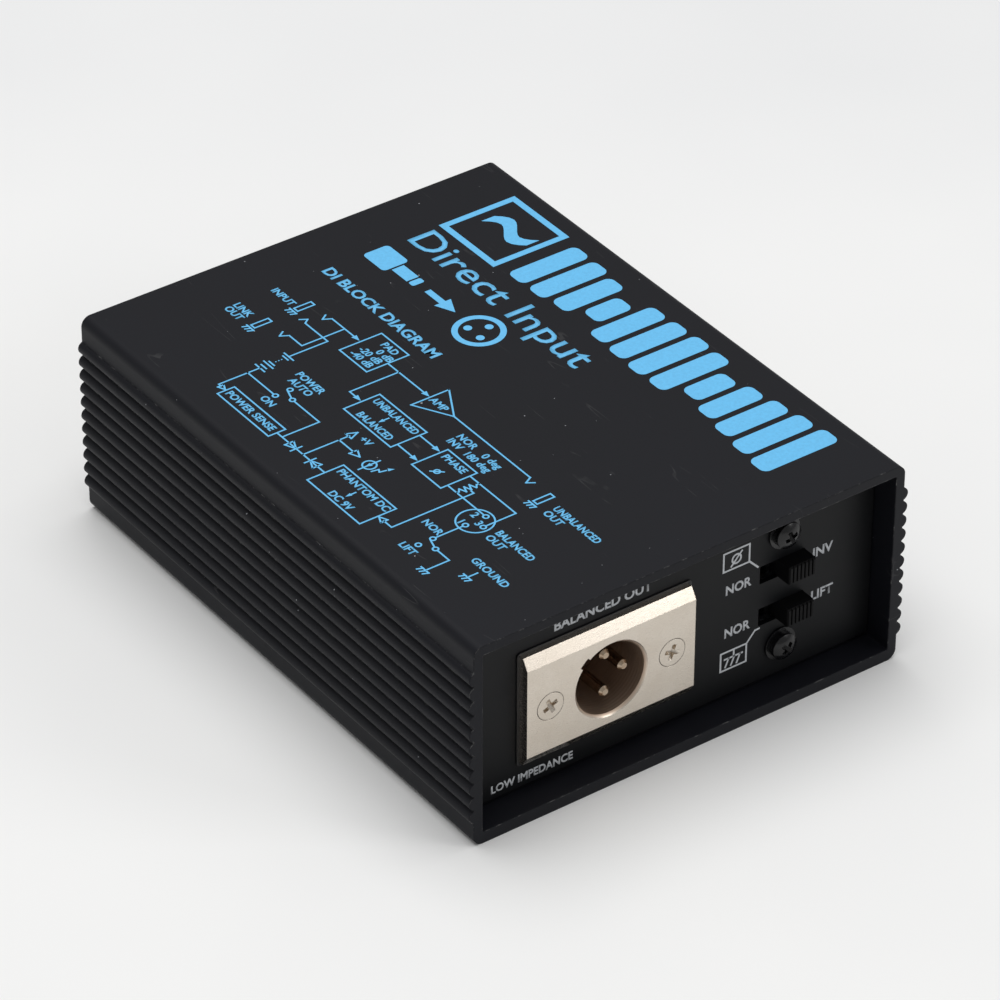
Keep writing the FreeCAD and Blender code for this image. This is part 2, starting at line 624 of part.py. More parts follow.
def make_switch(name, facing, x, level, slot):
    """A slide switch behind its panel, with the knob at the end of its travel; returns its terminals."""
    y = f"{level} * switch_pitch / 2"
    travel = f"({slot} - knob_length - 2 * knob_gap)"
    at = f"{travel} / 2"
    length = f"({slot} + 2 * can_margin)"
    can = less(centred(length, "can_height", (CAN_BACK, CAN_FRONT), y=y),
               centred(f"{length} - 2 * can_wall", "can_height - 2 * can_wall",
                       (f"{CAN_BACK} - 1", f"{CAN_FRONT} - can_wall"), y=y),
               centred(slot, "slot_height", (CAN_BACK, f"{CAN_FRONT} + 1"), y=y))
    base = centred(f"{length} - 2 * can_wall - 2 * fit", "can_height - 2 * can_wall - 2 * fit",
                   (CAN_BACK, f"{CAN_BACK} + base_thick"), y=y)
    carriage_back = f"{CARRIAGE_TOP} - carriage_thick"
    carriage = centred("knob_length + 2 * shoulder", "carriage_height",
                       (carriage_back, CARRIAGE_TOP), at, y)
    stem = centred("knob_length", "knob_height", (f"{CARRIAGE_TOP} - 0.1", "knob_rise - grip_depth"), at, y)
    crest = "knob_rise - grip_depth"
    grip = frustum("knob_length", "knob_height", (crest, "knob_rise"), "0.2", "0.25", at, y)
    grooves = [centred("grip_width", "knob_height + 1", (crest, "knob_rise + 1"),
                       f"{at} + ({i} - (grip_count - 1) / 2) * grip_pitch", y)
               for i in range(int(sheet.get("grip_count")))]
    wiper = centred("knob_length - 0.6", "carriage_height - 1.4",
                    (f"{carriage_back} - wiper_thick", carriage_back), at, y)
    tags = [centred("tag_width", "tag_thick", (f"{CAN_BACK} - tag_length", CAN_BACK),
                    f"{i} * tag_pitch", f"{y} + {j} * tag_spread")
            for i in (-1, 0, 1) for j in (-1, 1)]
    slider = less(fused(carriage, stem, grip), *grooves)
    pieces = {"can": can, "base": base, "slider": slider, "contact": wiper}
    for piece, solid in pieces.items():
        node(on_panel(solid, facing, x, "switch_z"), f"{name}_{piece}")
    return on_panel(group(tags), facing, x, "switch_z")


def make_bracket(prefix, facing, x, slots):
    """The plate that holds a pair of switches behind a panel, with its two screws and washers."""
    half = "(bracket_screw_z + bracket_margin)"
    ends = ("-sheet - bracket_sheet", "-sheet")
    plate = centred("bracket_width", f"2 * {half}", ends)
    cuts = [centred(slot, "slot_height", ("-sheet - bracket_sheet - 1", "0"), y=f"{level} * switch_pitch / 2")
            for level, slot in slots]
    screws, washers = [], []
    for hand, turn in ((1, 20), (-1, 50)):
        y = f"{hand} * bracket_screw_z"
        plate = fused(plate, rod("thread * 1.8", ("-sheet - bracket_sheet - 2", "-sheet"), y=y))
        cuts.append(rod("thread + fit", ("-sheet - bracket_sheet - 3", "0"), y=y))
        screws.append(place(pan_screw("washer_thick + sheet + bracket_sheet + 2.5"), UPWARD, y=y,
                            z="washer_thick", turn=turn))
        washers.append(less(rod("washer_radius", ("0", "washer_thick"), y=y),
                            rod("thread + hole_gap", ("-1", "washer_thick + 1"), y=y)))
    node(on_panel(less(plate, *cuts), facing, x, "switch_z"), f"{prefix}_switch_bracket")
    return on_panel(group(screws), facing, x, "switch_z"), on_panel(group(washers), facing, x, "switch_z")


def make_switches():
    terminals = [make_switch(name, *arrangement) for name, arrangement in SWITCHES.items()]
    node(group(terminals), "switch_terminals")
    output_slots = [(1, "slot_length"), (-1, "slot_length")]
    input_slots = [(1, "long_slot_length"), (-1, "slot_length")]
    fixings = [make_bracket("output", TO_OUTPUT, "switch_x", output_slots),
               make_bracket("input", TO_INPUT, "rear_switch_x", input_slots)]
    node(group([screws for screws, washers in fixings]), "bracket_screws")
    node(group([washers for screws, washers in fixings]), "bracket_washers")


# --- jacks and lamp on the input panel ------------------------------------------------------------------

def make_jacks():
    """Three enclosed phone jacks, their bushings, nuts, washers and contact springs."""
    front = "(-sheet - collar_thick)"
    back = f"({front} - jack_length)"
    bushings, nuts, washers, springs, pins = [], [], [], [], []
    for name, x in JACKS.items():
        shell = centred("jack_width", "jack_width", (back, front))
        bore = rod("jack_bore + 0.3", (f"{back} + jack_back", "0"))
        spring_slot = centred("spring_width + 0.4", "spring_thick * 2 + 1.4",
                              (f"{back} + jack_back", f"{front} - 2"), y="jack_bore + 0.3 + spring_thick")
        node(on_panel(less(shell, bore, spring_slot), TO_INPUT, x, "jack_z"), name)
        spring = centred("spring_width", "spring_thick", (f"{back} + jack_back", f"{front} - 3"),
                         y="jack_bore + 0.6 + spring_thick")
        springs.append(on_panel(spring, TO_INPUT, x, "jack_z"))
        sleeve = fused(rod("bushing_radius", (front, "bushing_rise")),
                       rod("collar_radius", (front, "-sheet")))
        bushings.append(on_panel(less(sleeve, rod("jack_bore", (f"{front} - 1", "bushing_rise + 1"))),
                                 TO_INPUT, x, "jack_z"))
        nut = less(prism("jack_nut", ("washer_thick", "washer_thick + jack_nut_thick")),
                   rod("bushing_radius + fit", ("-1", "5")))
        nuts.append(on_panel(nut, TO_INPUT, x, "jack_z"))
        washer = less(rod("jack_nut + 0.4", ("0", "washer_thick")), rod("bushing_radius + fit", ("-1", "5")))
        washers.append(on_panel(washer, TO_INPUT, x, "jack_z"))
        for step in (0.2, 0.5, 0.8):
            y = f"({PANEL} + {front} - jack_length * {step})"
            pins.append(centred("2 * foot_half", "foot_half", (BOARD_TOP, "jack_z - jack_width / 2"), x, y))
    node(group(bushings), "jack_bushings")
    node(group(nuts), "jack_nuts")
    node(group(washers), "jack_washers")
    node(group(springs), "jack_springs")
    node(group(pins), "jack_terminals")


def make_lamp():
    """Power lamp: a clear lens in a black holder."""
    tube = fused(rod("lamp_holder - fit", ("-sheet - 5", "0")),
                 cone("lamp_holder + 0.8", "lamp_holder", ("0", "lamp_rise")))
    holder = less(tube, rod("lamp_radius + fit", ("-sheet - 6", "lamp_rise + 1")))
    node(on_panel(holder, TO_INPUT, "lamp_x", "lamp_z"), "lamp_holder")
    lens = fused(rod("lamp_radius", ("-sheet - 4", "lamp_rise")), ball("lamp_radius", "lamp_rise"))
    legs = [centred("0.45", "0.45", ("-sheet - 12", "-sheet - 4"), x=f"{hand} * 0.8") for hand in (-1, 1)]
    node(on_panel(fused(lens, *legs), TO_INPUT, "lamp_x", "lamp_z"), "lamp")


# --- circuit board ----------------------------------------------------------------------------------------

def make_board():
    """The circuit board on four standoffs, with what is soldered to it."""
    board = block(("-board_width / 2", "board_width / 2"), ("board_front", "board_back"),
                  (f"{BOARD_TOP} - board_thick", BOARD_TOP))
    holes = [rod("thread + hole_gap", ("0", "body_height"), x, y) for x, y in BOARD_SCREWS]
    node(less(board, *holes), "main_board")
    posts, screws = [], []
    for x, y in BOARD_SCREWS:
        post = rod("standoff_radius", ("floor_wall + sheet", "floor_wall + sheet + standoff"), x, y)
        posts.append(less(post, rod("thread + fit", ("floor_wall", "body_height"), x, y)))
        screws.append(place(pan_screw("board_thick + standoff - 0.5"), UPWARD, x, y, BOARD_TOP))
    node(group(posts), "board_standoffs")
    node(group(screws), "board_screws")

    def row(count, start, pitch, y, build):
        return [build(f"{start} + {i} * {pitch}", y) for i in range(count)]

    def chip(x, y):
        bottom = f"{BOARD_TOP} + chip_gap"
        return frustum("chip_length", "chip_width", (bottom, f"{bottom} + chip_thick"), "0.3", "0.3", x, y)

    def chip_legs(x, y):
        top = f"{BOARD_TOP} + chip_gap + chip_thick / 2"
        return group([centred("leg_width", "leg_width / 2", (BOARD_TOP, top),
                              f"{x} + {i} * leg_pitch", f"{y} + {j} * leg_spread")
                      for i in (-1.5, -0.5, 0.5, 1.5) for j in (-1, 1)])

    def electrolytic(x, y):
        return rod("electrolytic_radius", (BOARD_TOP, f"{BOARD_TOP} + electrolytic_height"), x, y)

    def film(x, y):
        return centred("film_length", "film_width", (BOARD_TOP, f"{BOARD_TOP} + film_height"), x, y)

    def resistor(x, y):
        level = f"{BOARD_TOP} + resistor_level"
        body = rod("resistor_radius", ("-resistor_length / 2", "resistor_length / 2"), x, y, level, "x")
        wire = rod("resistor_wire", ("-resistor_span / 2", "resistor_span / 2"), x, y, level, "x")
        return fused(body, wire)

    def transistor(x, y):
        bottom = f"{BOARD_TOP} + transistor_gap"
        flat = block((f"{x} - 2 * transistor_radius", f"{x} + 2 * transistor_radius"),
                     (f"{y} - 2 * transistor_radius", f"{y} - transistor_flat"), (BOARD_TOP, "body_height"))
        return less(rod("transistor_radius", (bottom, f"{bottom} + transistor_height"), x, y), flat)

    node(group(row(2, "-14", "20", "board_front + 9", chip)), "amplifier_chips")
    node(group(row(2, "-14", "20", "board_front + 9", chip_legs)), "chip_legs")
    node(group(row(7, "-34", "8", "board_front + 18", electrolytic)), "electrolytic_capacitors")
    films = [("35", "board_front + 3"), ("26.5", "board_front + 3"), ("30", "board_front + 9"),
             ("21", "board_front + 9"), ("-30", "board_front + 3")]
    node(group([film(x, y) for x, y in films]), "film_capacitors")
    node(group(row(6, "-40", "12.5", "board_front + 25", resistor)), "resistors")
    node(group(row(3, "-40", "7", "board_front + 12", transistor)), "transistors")
    core_x, core_y = "36", "board_front + 17"
    core = rod("core_radius", (BOARD_TOP, f"{BOARD_TOP} + core_height"), core_x, core_y)
    bore = rod("core_bore", (f"{BOARD_TOP} + core_height / 2", "body_height"), core_x, core_y)
    node(less(core, bore), "converter_coil")


# --- battery, box and door ---------------------------------------------------------------------------------

def make_battery_box():
    """A plastic box through the chassis and sleeve, open at the bottom; the door hangs between its walls."""
    outside = block(BOX_ACROSS, BOX_ALONG, ("door_inset", f"{BOX_CEILING} + box_wall"))
    rim = block((f"{BOX_ACROSS[0]} - box_lip", f"{BOX_ACROSS[1]} + box_lip"),
                (f"{BOX_ALONG[0]} - box_lip", f"{BOX_ALONG[1]} + box_lip"),
                ("floor_wall + sheet", "floor_wall + sheet + box_wall"))
    cavity = block(CAVITY_ACROSS, CAVITY_ALONG, ("door_inset - 1", BOX_CEILING))
    pin_holes = rod("hinge_pin + hinge_play", (f"{CAVITY_ALONG[0]} - hinge_reach - hinge_play",
                                              f"{CAVITY_ALONG[1]} + hinge_reach + hinge_play"),
                    HINGE_X, "0", HINGE_Z, "y")
    lead_slot = block((f"{CAVITY_ACROSS[1]} - lead_room", CAVITY_ACROSS[1]),
                      (f"{CELL_MIDDLE_Y} - 6", f"{CELL_MIDDLE_Y} + 6"),
                      (f"{BOX_CEILING} - 1", f"{BOX_CEILING} + 5"))
    node(less(fused(outside, rim), cavity, pin_holes, lead_slot), "battery_box")


def make_battery():
    start = f"({CAVITY_ACROSS[0]} + cell_gap)"
    end = f"({start} + cell_length)"
    case = block((start, end), (f"{CELL_MIDDLE_Y} - cell_width / 2", f"{CELL_MIDDLE_Y} + cell_width / 2"),
                 (CELL_BOTTOM, CELL_TOP))
    middle = f"({CELL_BOTTOM} + cell_height / 2)"
    sides = [f"{CELL_MIDDLE_Y} + {hand} * stud_pitch / 2" for hand in (-1, 1)]
    studs = [rod("stud_radius", ("-0.1", "stud_rise"), end, y, middle, "x") for y in sides]
    node(fused(case, *studs), "battery")
    snap = block((f"{end} + 0.3", f"{end} + stud_rise + snap_thick"),
                 (f"{CELL_MIDDLE_Y} + snap_margin - cell_width / 2",
                  f"{CELL_MIDDLE_Y} - snap_margin + cell_width / 2"),
                 (f"{middle} - snap_height / 2", f"{middle} + snap_height / 2"))
    wells = [rod("stud_radius + fit", ("-1", "stud_rise + fit"), end, y, middle, "x") for y in sides]
    node(less(snap, *wells), "battery_snap")
    pad = block((start, end), (f"{CELL_MIDDLE_Y} - pad_width / 2", f"{CELL_MIDDLE_Y} + pad_width / 2"),
                (f"{CELL_TOP} + cell_gap", BOX_CEILING))
    node(pad, "battery_pad")


def make_battery_door():
    """A plastic lid with a hinge barrel at one end and a latch tongue at the other."""
    across = (HINGE_X, f"({CAVITY_ACROSS[1]} - door_gap)")
    along = (f"{CAVITY_ALONG[0]} + door_gap", f"{CAVITY_ALONG[1]} - door_gap")
    plate = block(across, along, ("door_inset", "door_inset + door_thick"))
    barrel = rod("hinge_barrel", along, HINGE_X, "0", HINGE_Z, "y")
    pins = rod("hinge_pin", (f"{CAVITY_ALONG[0]} - hinge_reach", f"{CAVITY_ALONG[1]} + hinge_reach"),
               HINGE_X, "0", HINGE_Z, "y")
    tongue = block((f"{across[1]} - 1.2", across[1]),
                   (f"{CELL_MIDDLE_Y} - latch_width / 2", f"{CELL_MIDDLE_Y} + latch_width / 2"),
                   ("door_inset + door_thick - 0.1", "door_inset + door_thick + latch_rise"))
    thumb_notch = block((f"{across[1]} - 5", f"{across[1]} - 2"),
                        (f"{CELL_MIDDLE_Y} - latch_width / 2", f"{CELL_MIDDLE_Y} + latch_width / 2"),
                        ("door_inset - 1", "door_inset + 0.8"))
    node(less(fused(plate, barrel, pins, tongue), thumb_notch), "battery_door")


# --- leads ------------------------------------------------------------------------------------------------

def tube(route, radius):
    """A round lead along straight runs joined by tangent arcs."""
    edges = []
    start = route[0]
    for before, corner, after in zip(route, route[1:], route[2:]):
        arriving, leaving = (corner - before), (after - corner)
        turn = arriving.getAngle(leaving)
        shorter = min(arriving.Length, leaving.Length)
        bend = 0.45 * shorter / math.tan(turn / 2)
        setback = bend * math.tan(turn / 2)
        enter = corner - arriving.normalize() * setback
        leave = corner + leaving.normalize() * setback
        inward = (leaving - arriving).normalize()
        middle = corner + inward * (bend / math.cos(turn / 2) - bend)
        edges += [Part.LineSegment(start, enter).toShape(), Part.Arc(enter, middle, leave).toShape()]
        start = leave
    edges.append(Part.LineSegment(start, route[-1]).toShape())
    path = Part.Wire(edges)
    section = Part.Wire([Part.Circle(route[0], (route[1] - route[0]).normalize(), radius).toShape()])
    return path.makePipeShell([section], True, True)


def make_leads():
    """Battery and output leads, soldered to the board."""
    get, Vector = sheet.get, FreeCAD.Vector
    board_top = get("floor_wall") + get("sheet") + get("standoff") + get("board_thick")
    radius = get("lead_radius")
    landing = get("board_front") + 3.4
    lead_level = board_top + 19

    snap_x = (get("box_x") + get("box_wall") + get("cell_gap") + get("cell_length") + get("stud_rise")
              + get("snap_thick") + get("lead_room") / 2 + 0.3)
    middle_y = get("box_y") + get("box_wall") + get("cell_gap") + get("cell_width") / 2
    snap_z = get("door_inset") + 2 * get("hinge_barrel") + get("door_gap") + get("cell_height") / 2
    for name, hand in (("battery_lead_red", 1), ("battery_lead_black", -1)):
        y = middle_y + 2.5 * hand
        landing_x = snap_x + 3 + 2.5 * hand
        route = [Vector(snap_x, y, snap_z), Vector(snap_x, y, lead_level),
                 Vector(landing_x, landing, lead_level), Vector(landing_x, landing, board_top)]
        lead = doc.addObject("Part::Feature", name)
        lead.Shape = tube(route, radius)
        node(lead, name)

    rear = -(get("body_depth") / 2 - get("panel_recess")) + get("barrel_length") + get("pin_tail")
    x, z, out = get("xlr_x"), get("xlr_z"), get("pin_circle")
    routes = [
        [Vector(x, rear, z + out), Vector(x, landing, z + out), Vector(x, landing, board_top)],
        [Vector(x + out, rear, z), Vector(x + out, rear + 6.8, z),
         Vector(x + out + 3, rear + 6.8, lead_level),
         Vector(x + out + 3, landing, lead_level), Vector(x + out + 3, landing, board_top)],
        [Vector(x, rear, z - out), Vector(x - 5, rear + 6.5, z - out), Vector(x - 6, rear + 6.5, lead_level),
         Vector(x - 6, landing, lead_level), Vector(x - 6, landing, board_top)],
    ]
    leads = doc.addObject("Part::Feature", "output_leads")
    leads.Shape = Part.Compound([tube(route, radius) for route in routes])
    node(leads, "output_leads")


# --- the whole ---------------------------------------------------------------------------------------------

def export():
    """Check every object, then write each sub-part to its own file."""
    doc.recompute()
    for thing in doc.Objects:
        bad = {"Invalid", "Error"} & set(thing.State)
        if bad:
            raise RuntimeError(f"{thing.Label} ({thing.Name}): {thing.State}")
    for thing in nodes:
        if thing.Shape.isNull() or not thing.Shape.isValid():
            raise RuntimeError(f"{thing.Label} has no valid shape")
    os.makedirs("parts", exist_ok=True)
    for thing in nodes:
        thing.Shape.exportStep(f"parts/{thing.Label}.step")
        print(f"{thing.Label}: {len(thing.Shape.Solids)} solid(s), {thing.Shape.Volume:.1f} mm3")


fill_sheet()
make_sleeve()
make_chassis()
make_case_screws()
make_xlr()
make_switches()
make_jacks()
make_lamp()
make_board()
make_battery_box()
make_battery()
make_battery_door()
make_leads()
export()
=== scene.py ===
import json
import math

import bpy
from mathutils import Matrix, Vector


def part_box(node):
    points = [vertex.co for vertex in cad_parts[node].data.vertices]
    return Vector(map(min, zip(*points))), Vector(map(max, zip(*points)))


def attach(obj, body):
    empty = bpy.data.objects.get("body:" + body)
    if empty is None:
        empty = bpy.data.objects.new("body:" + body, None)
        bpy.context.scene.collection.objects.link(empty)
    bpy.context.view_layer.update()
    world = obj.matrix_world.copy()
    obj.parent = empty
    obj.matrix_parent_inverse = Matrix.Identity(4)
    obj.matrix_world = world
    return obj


bl_info = {
    "name": "Direct injection box",
    "version": (1, 0, 0),
    "blender": (4, 5, 0),
    "location": "View3D > Sidebar > DI box",
    "description": "Gives a direct injection box its finishes, its screen printing and a studio stage",
    "category": "Object",
}

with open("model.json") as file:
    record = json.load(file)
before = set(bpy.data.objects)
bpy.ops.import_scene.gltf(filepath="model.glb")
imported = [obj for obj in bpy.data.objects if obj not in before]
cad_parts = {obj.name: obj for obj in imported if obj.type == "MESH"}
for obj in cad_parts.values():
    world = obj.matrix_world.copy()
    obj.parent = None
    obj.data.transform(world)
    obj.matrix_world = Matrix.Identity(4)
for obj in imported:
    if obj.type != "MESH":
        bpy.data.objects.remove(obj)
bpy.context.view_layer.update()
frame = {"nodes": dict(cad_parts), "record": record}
MM = 0.001
CAPITAL = 0.682         # height of a capital in the built-in font, at text size 1
A, B, MIXED = 6, 7, 2   # a colour Mix node's two colours and its result
LIFT = 0.004            # mm between inked shapes that cross, so that none share a face
WEIGHT = 0.03           # how much the lettering is thickened
SLEEVE_LOW, SLEEVE_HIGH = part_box("sleeve")
OUTPUT_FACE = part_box("chassis")[0][1]
INPUT_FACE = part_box("chassis")[1][1]
SOCKET = [(low + high) / 2 for low, high in zip(*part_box("xlr_insert"))]
LOOK_AT = Vector((1.44, -2.97, 21.32)) * MM     # where the camera is aimed

NOISE, VORONOI, WAVE = "ShaderNodeTexNoise", "ShaderNodeTexVoronoi", "ShaderNodeTexWave"
RANGE, MIX, MATH, VECTOR = "ShaderNodeMapRange", "ShaderNodeMix", "ShaderNodeMath", "ShaderNodeVectorMath"
BUMP, BEVEL, MAPPING = "ShaderNodeBump", "ShaderNodeBevel", "ShaderNodeMapping"


# --- colour and nodes -----------------------------------------------------------------------------

def linear(code, alpha=1.0):
    """An sRGB hex colour as Blender's linear one."""
    channels = [int(code[i:i + 2], 16) / 255 for i in (1, 3, 5)]
    return tuple(c / 12.92 if c <= 0.04045 else ((c + 0.055) / 1.055) ** 2.4 for c in channels) + (alpha,)


def per_mm(size):
    """The texture scale that gives features of a size in millimetres."""
    return 1 / (size * MM)


def bands_per_mm(pitch):
    """The wave texture's scale that gives bands a pitch apart in millimetres."""
    return math.tau / 20 * per_mm(pitch)


def add(tree, kind, links=None, **settings):
    """Add a node, set its properties, and fill its inputs with values or with other nodes' outputs."""
    node = tree.nodes.new(kind)
    for name, value in settings.items():
        setattr(node, name, value)
    for socket, source in (links or {}).items():
        if isinstance(source, bpy.types.NodeSocket):
            tree.links.new(source, node.inputs[socket])
        else:
            node.inputs[socket].default_value = source
    return node


def start_finish(name, **fixed):
    """A material whose shader has its fixed numbers set, its tree, and the object's own coordinates."""
    material = bpy.data.materials.new(name)
    material.use_nodes = True
    tree = material.node_tree
    shader = tree.nodes["Principled BSDF"]
    for socket, value in fixed.items():
        shader.inputs[socket.replace("_", " ")].default_value = value
    return material, tree, add(tree, "ShaderNodeTexCoord").outputs["Object"]


def finished(material, **sources):
    """Link what drives the shader's inputs, and give back the material."""
    tree = material.node_tree
    for socket, source in sources.items():
        tree.links.new(source, tree.nodes["Principled BSDF"].inputs[socket.replace("_", " ")])
    return material


def dress(nodes, material):
    """Give CAD nodes a finish."""
    for name in nodes:
        for slot in frame["nodes"][name].material_slots:
            slot.material = material


# --- finishes -------------------------------------------------------------------------------------

def baked_enamel(colours):
    """Black baked enamel on extruded aluminium: matt orange peel, pale rubbed edges, dust, faint scuffs."""
    material, tree, place = start_finish("baked_enamel", Specular_IOR_Level=0.2)
    peel = add(tree, NOISE, {"Vector": place, "Scale": per_mm(0.45), "Detail": 4.0, "Roughness": 0.6})
    cloud = add(tree, NOISE, {"Vector": place, "Scale": per_mm(38), "Detail": 8.0, "Roughness": 0.68})
    dust = add(tree, VORONOI, {"Vector": place, "Scale": per_mm(2.9), "Randomness": 1.0})
    dust_size = add(tree, NOISE, {"Vector": place, "Scale": per_mm(7), "Detail": 2.0})
    speck_limit = add(tree, RANGE, {"Value": dust_size.outputs["Fac"], "From Min": 0.47, "From Max": 0.78,
                                    "To Min": 0.0, "To Max": 0.095})
    speck = add(tree, MATH, {0: dust.outputs["Distance"], 1: speck_limit.outputs["Result"]},
                operation="LESS_THAN")
    drag = add(tree, MAPPING, {"Vector": place, "Rotation": (0.0, 0.0, 0.6), "Scale": (1.0, 0.1, 1.0)})
    hairs = add(tree, NOISE, {"Vector": drag.outputs["Vector"], "Scale": per_mm(5), "Detail": 1.0})
    from_hair = add(tree, MATH, {0: hairs.outputs["Fac"], 1: 0.5, 2: 0.005}, operation="COMPARE")
    rubbed_patch = add(tree, RANGE, {"Value": dust_size.outputs["Fac"], "From Min": 0.58, "From Max": 0.7,
                                     "To Min": 0.0, "To Max": 0.06})
    scuff = add(tree, MATH, {0: from_hair.outputs["Value"], 1: rubbed_patch.outputs["Result"]},
                operation="MULTIPLY")
    corner = add(tree, BEVEL, {"Radius": 0.45 * MM}, samples=6)
    face = add(tree, "ShaderNodeNewGeometry")
    square = add(tree, VECTOR, {0: corner.outputs["Normal"], 1: face.outputs["Normal"]},
                 operation="DOT_PRODUCT")
    rub = add(tree, NOISE, {"Vector": place, "Scale": per_mm(2.6), "Detail": 6.0, "Roughness": 0.7})
    edge = add(tree, RANGE, {"Value": square.outputs["Value"], "From Min": 0.97, "From Max": 0.8,
                             "To Min": 0.0, "To Max": 1.0})
    bare = add(tree, RANGE, {"Value": rub.outputs["Fac"], "From Min": 0.53, "From Max": 0.72, "To Min": 0.0,
                             "To Max": 0.8})
    chips = add(tree, MATH, {0: edge.outputs["Result"], 1: bare.outputs["Result"]}, operation="MULTIPLY")
    worn = add(tree, MATH, {0: chips.outputs["Value"], 1: scuff.outputs["Value"]}, operation="MAXIMUM")
    tone = add(tree, MIX, {0: cloud.outputs["Fac"], A: linear(colours.enamel_low),
                           B: linear(colours.enamel_high)}, data_type="RGBA")
    rubbed = add(tree, MIX, {0: worn.outputs["Value"], A: tone.outputs[MIXED],
                             B: linear(colours.bare_metal)}, data_type="RGBA")
    dusty = add(tree, MIX, {0: speck.outputs["Value"], A: rubbed.outputs[MIXED], B: linear(colours.dust)},
                data_type="RGBA")
    gloss = add(tree, RANGE, {"Value": cloud.outputs["Fac"], "To Min": 0.46, "To Max": 0.62})
    rise = add(tree, BUMP, {"Height": peel.outputs["Fac"], "Normal": corner.outputs["Normal"],
                            "Strength": 0.5, "Distance": 0.03 * MM})
    return finished(material, Base_Color=dusty.outputs[MIXED], Roughness=gloss.outputs["Result"],
                    Normal=rise.outputs["Normal"])


def panel_enamel(colours):
    """Semi-matt black enamel sprayed on folded steel: smoother than the sleeve, with a dry spray grain."""
    material, tree, place = start_finish("panel_enamel", Specular_IOR_Level=0.2)
    grain = add(tree, NOISE, {"Vector": place, "Scale": per_mm(0.3), "Detail": 3.0})
    haze = add(tree, NOISE, {"Vector": place, "Scale": per_mm(12), "Detail": 4.0})
    tone = add(tree, MIX, {0: haze.outputs["Fac"], A: linear(colours.panel_low),
                           B: linear(colours.panel_high)}, data_type="RGBA")
    gloss = add(tree, RANGE, {"Value": haze.outputs["Fac"], "To Min": 0.42, "To Max": 0.56})
    rise = add(tree, BUMP, {"Height": grain.outputs["Fac"], "Strength": 0.35, "Distance": 0.02 * MM})
    return finished(material, Base_Color=tone.outputs[MIXED], Roughness=gloss.outputs["Result"],
                    Normal=rise.outputs["Normal"])


def nickel_plate(colours):
    """Nickel plated casting: satin warm metal, finely scratched, with turning rings inside the socket,
    whose wall is tinted brown as a painted reflection of the insert.
    """
    material, tree, place = start_finish("nickel_plate", Metallic=1.0)
    wave = add(tree, NOISE, {"Vector": place, "Scale": per_mm(5), "Detail": 2.0})
    stretch = add(tree, MAPPING, {"Vector": place, "Rotation": (0.0, 0.35, 0.0), "Scale": (1.0, 1.0, 14.0)})
    scratch = add(tree, NOISE, {"Vector": stretch.outputs["Vector"], "Scale": per_mm(1.5), "Detail": 4.0})
    # the socket's bore is 8.1 mm in radius, so its finish begins just outside that; there a painted
    # reflection tints the nickel brown
    from_axis = add(tree, MAPPING, {"Vector": place, "Location": (-SOCKET[0], 0.0, -SOCKET[2]),
                                    "Scale": (1.0, 0.0, 1.0)})
    radius = add(tree, VECTOR, {0: from_axis.outputs["Vector"]}, operation="LENGTH")
    bore = add(tree, RANGE, {"Value": radius.outputs["Value"], "From Min": 8.7 * MM, "From Max": 8.3 * MM,
                             "To Min": 0.0, "To Max": 1.0})
    turning = add(tree, WAVE, {"Vector": place, "Scale": bands_per_mm(0.75), "Distortion": 0.3,
                               "Detail": 1.0}, bands_direction="Y")
    edge = add(tree, BEVEL, {"Radius": 0.2 * MM}, samples=4)
    tone = add(tree, MIX, {0: wave.outputs["Fac"], A: linear(colours.nickel_low),
                           B: linear(colours.nickel_high)}, data_type="RGBA")
    # painted reflection: inside the bore the nickel takes the insert's brown
    tarnish_and_painted_reflection = add(tree, MIX, {0: bore.outputs["Result"], A: tone.outputs[MIXED], B: linear("#BCA896")},
                  data_type="RGBA")
    gloss = add(tree, RANGE, {"Value": scratch.outputs["Fac"], "From Min": 0.3, "From Max": 0.7,
                              "To Min": 0.2, "To Max": 0.3})
    # a Mix of numbers has them at 2 and 3 and its result at 0
    turned_gloss = add(tree, MIX, {0: bore.outputs["Result"], 2: gloss.outputs["Result"], 3: 0.5})
    ripple = add(tree, MATH, {0: turning.outputs["Fac"], 1: bore.outputs["Result"]}, operation="MULTIPLY")
    cast = add(tree, BUMP, {"Height": wave.outputs["Fac"], "Normal": edge.outputs["Normal"],
                            "Strength": 0.12, "Distance": 0.03 * MM})
    rise = add(tree, BUMP, {"Height": ripple.outputs["Value"], "Normal": cast.outputs["Normal"],
                            "Strength": 0.7, "Distance": 0.06 * MM})
    return finished(material, Base_Color=tarnish_and_painted_reflection.outputs[MIXED], Roughness=turned_gloss.outputs[0],
                    Normal=rise.outputs["Normal"])


def turned_nickel(colours):
    """Bright nickel on turned brass bushings and nuts, with soft smears and slightly rounded edges."""
    material, tree, place = start_finish("turned_nickel", Metallic=1.0)
    smear = add(tree, NOISE, {"Vector": place, "Scale": per_mm(1.8), "Detail": 4.0})
    edge = add(tree, BEVEL, {"Radius": 0.15 * MM}, samples=4)
    tone = add(tree, MIX, {0: smear.outputs["Fac"], A: linear(colours.nickel_low),
                           B: linear(colours.nickel_high)}, data_type="RGBA")
    gloss = add(tree, RANGE, {"Value": smear.outputs["Fac"], "From Min": 0.3, "From Max": 0.7,
                              "To Min": 0.12, "To Max": 0.26})
    rise = add(tree, BUMP, {"Height": smear.outputs["Fac"], "Normal": edge.outputs["Normal"],
                            "Strength": 0.1, "Distance": 0.02 * MM})
    return finished(material, Base_Color=tone.outputs[MIXED], Roughness=gloss.outputs["Result"],
                    Normal=rise.outputs["Normal"])


